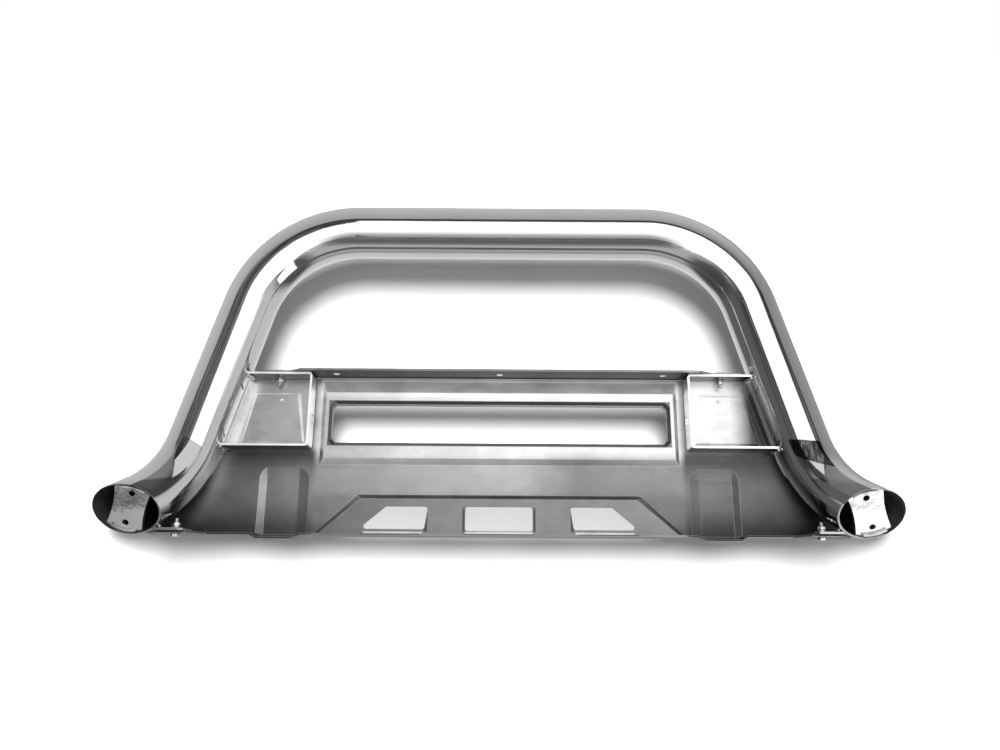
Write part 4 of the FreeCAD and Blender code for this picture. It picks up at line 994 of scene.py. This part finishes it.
def room_colour(net):
    """What the polished tube mirrors, by direction."""
    generated = net.coords("Generated")
    x, y, z = net.split(generated)
    # angle from the rearward direction, 0 to 1
    angle = net.math("DIVIDE", net.math("ARCCOSINE", net.mul(y, -1.0)), math.pi)
    middle = net.ramp(angle, [(0.0, 0.03), (0.30, 0.02), (0.325, 0.45), (0.42, 0.50),
                              (0.60, 0.56), (0.80, 0.62), (1.0, 0.80)])
    low = net.ramp(angle, [(0.0, 0.10), (0.200, 0.07), (0.222, 0.42), (0.46, 0.46),
                           (0.60, 0.42), (0.66, 0.30), (0.71, 0.60), (1.0, 0.75)])
    high = net.ramp(angle, [(0.0, 0.12), (0.19, 0.10), (0.225, 0.05), (0.245, 0.40),
                            (0.42, 0.50), (0.60, 0.56), (0.80, 0.62), (1.0, 0.80)])
    room = net.mix(net.fade(z, off=-0.35, on=-0.15), low, middle)
    room = net.mix(net.fade(z, off=0.45, on=0.65), room, high)
    # streaks in the dark rear part
    bars = net.noise(net.position((46.0, 2.0, 5.0), generated), scale=1.0, detail=5.0,
                     roughness=0.7)
    streak = net.ramp(bars, [(0.42, 0.0), (0.52, 0.10), (0.62, 0.42), (0.66, 0.12)])
    zone = net.mul(net.fade(angle, off=0.33, on=0.29), net.fade(z, off=0.55, on=0.35))
    room = net.mix(zone, room, net.mix(1.0, room, streak, "ADD"))

    def wall(mask, strength, tone):
        return net.mix(net.mul(mask, strength), room, tone)

    # dark side walls near the floor: the feet mirror them
    sideways = net.math("ABSOLUTE", x)
    mask = net.mul(net.fade(sideways, off=0.42, on=0.60), net.fade(z, off=-0.18, on=-0.36))
    room = wall(mask, strength=0.85, tone=0.035)
    # the right of the room is duller
    heights = net.mul(net.fade(z, off=0.85, on=0.60), net.fade(z, off=0.16, on=0.34))
    room = wall(net.mul(net.fade(x, off=0.12, on=0.45), heights), strength=0.42, tone=0.02)
    # low on the left a dark wall, low on the right a pale one
    heights = net.fade(z, off=0.20, on=0.06)
    room = wall(net.mul(net.fade(x, off=-0.62, on=-0.78), heights), strength=0.88, tone=0.06)
    heights = net.mul(net.fade(z, off=0.20, on=0.06), net.fade(z, off=-0.45, on=-0.25))
    room = wall(net.mul(net.fade(x, off=0.62, on=0.78), heights), strength=0.8, tone=0.60)
    # low window on the right: widens the bright band on the inside of the left leg
    window = net.mul(net.fade(x, off=0.50, on=0.53), net.fade(x, off=0.86, on=0.83))
    heights = net.mul(net.fade(z, off=0.20, on=0.17), net.fade(z, off=-0.12, on=0.02))
    window = net.mul(window, heights)
    window = net.mul(window, net.fade(y, off=-0.2, on=-0.25))
    return net.mix(window, room, 1.2)


def make_world():
    """The room for mirrored and lighting rays, plain white where the camera sees it."""
    world = bpy.data.worlds.new("studio")
    scene.world = world
    net = Net(world)
    room, white = [
        net.node("Background", {"Color": colour, "Strength": 1.0}).outputs[0]
        for colour in (room_colour(net), (1, 1, 1, 1))]
    net.surface(net.mix_shader(net.node("LightPath").outputs["Is Camera Ray"], room, white))


def backdrop_material():
    """Pale paper, seen only from straight behind the guard, with a glow low in the middle."""
    glow_strength = 0.55
    material, net = new_material("pale_backdrop")
    cloud = net.noise(net.position(), scale=4.0, detail=2.0)
    paper = net.node("BsdfDiffuse", {"Color": net.ramp(cloud, [(0.3, 0.34), (0.7, 0.36)])})
    clear = net.node("BsdfTransparent").outputs[0]
    oblique = net.facing(REAR, off=0.80, on=0.68, quantity="Incoming")
    x, _, z = net.xyz()
    glow = net.mul(net.span(net.math("ABSOLUTE", x), start=-1.0, end=0.225, soft=0.02),
                   net.span(z, start=0.012, end=0.070, soft=0.010))
    light = net.node("Emission", {"Strength": net.mul(glow, glow_strength)})
    lit_paper = net.node("AddShader", {0: paper.outputs[0], 1: light.outputs[0]}).outputs[0]
    net.surface(net.mix_shader(oblique, lit_paper, clear))
    return material


def make_backdrop():
    """Paper close in front of the guard (+Y); it catches the soft shadow."""
    material = backdrop_material()
    mesh = bpy.data.meshes.new("backdrop")
    mesh.from_pydata(upright(-1.2, 1.2, BACKDROP_Y, FLOOR_Z, 1.2), [], [(0, 1, 2, 3)])
    mesh.update()
    ob = link_object("backdrop", mesh)
    set_stage(ob, material, ("glossy", "diffuse", "shadow"))
    return ob


def make_gobos():
    """Black masks that shade the backdrop behind the lower openings and the feet."""
    black = emission("gobo_black", strength=0.0)
    stage_panel("opening_gobo", upright(-0.21, 0.21, GOBO_Y, 0.006, 0.054), black, GOBO_HIDDEN)
    centre_x, centre_z, half_width, half_height, count = 0.5330, 0.0420, 0.050, 0.035, 24
    for side, name in ((-1, "foot_gobo_left"), (1, "foot_gobo_right")):
        angles = [2 * math.pi * i / count for i in range(count)]
        oval = [(side * centre_x + half_width * math.cos(a), GOBO_Y,
                 centre_z + half_height * math.sin(a)) for a in angles]
        stage_panel(name, oval, black, GOBO_HIDDEN)


def sun(name, energy, spread, tilt):
    """Sun shining towards +Y and down; spread and tilt from overhead in degrees."""
    light = bpy.data.lights.new(name, "SUN")
    light.energy = energy
    light.angle = math.radians(spread)
    ob = link_object(name, light)
    ob.rotation_euler = (math.radians(tilt), 0, 0)
    ob.visible_glossy = False
    return ob


def make_camera():
    """Low behind the guard, looking up at it."""
    camera = bpy.data.cameras.new("camera")
    camera.lens = 28.62144
    camera.sensor_width = 36
    camera.shift_x = 0.0002
    camera.shift_y = 0.0090
    camera.clip_start = 0.01
    camera.clip_end = 50
    ob = link_object("camera", camera)
    distance, drop = 1.10212, 0.53514     # behind the hoop, below its top run
    pitch, roll = 0.26551, math.radians(0.36)
    ob.location = (0.0, HOOP_Y - distance, TOP_Z - drop)
    turn = Matrix.Rotation(math.radians(90) + pitch, 3, "X") @ Matrix.Rotation(roll, 3, "Z")
    ob.rotation_euler = turn.to_euler()
    scene.camera = ob


stage_panel("floor", level(-9, 9, -9, 9, FLOOR_Z), floor_material(), ("glossy",))
# big softbox behind the camera
stage_panel("softbox", upright(-0.50, 1.32, HOOP_Y - 1.5, TOP_Z - 1.36, TOP_Z + 0.86),
            emission("softbox_light", strength=1.35), ("camera", "shadow"))
make_world()
# just above the floor on the right, mirrored by the right end plate
stage_panel("floor_reflector", level(0.40, 1.15, -0.80, 0.10, FLOOR_Z + 0.02),
            emission("floor_reflector_light", strength=1.5), ("camera", "diffuse", "shadow"))
backdrop = make_backdrop()
make_gobos()
backdrop_only = bpy.data.collections.new("backdrop_only")
backdrop_only.objects.link(backdrop)
backdrop_key = sun("backdrop_key", energy=15.0, spread=38, tilt=72)
backdrop_key.light_linking.receiver_collection = backdrop_only
sun("key", energy=1.6, spread=16, tilt=66)
make_camera()
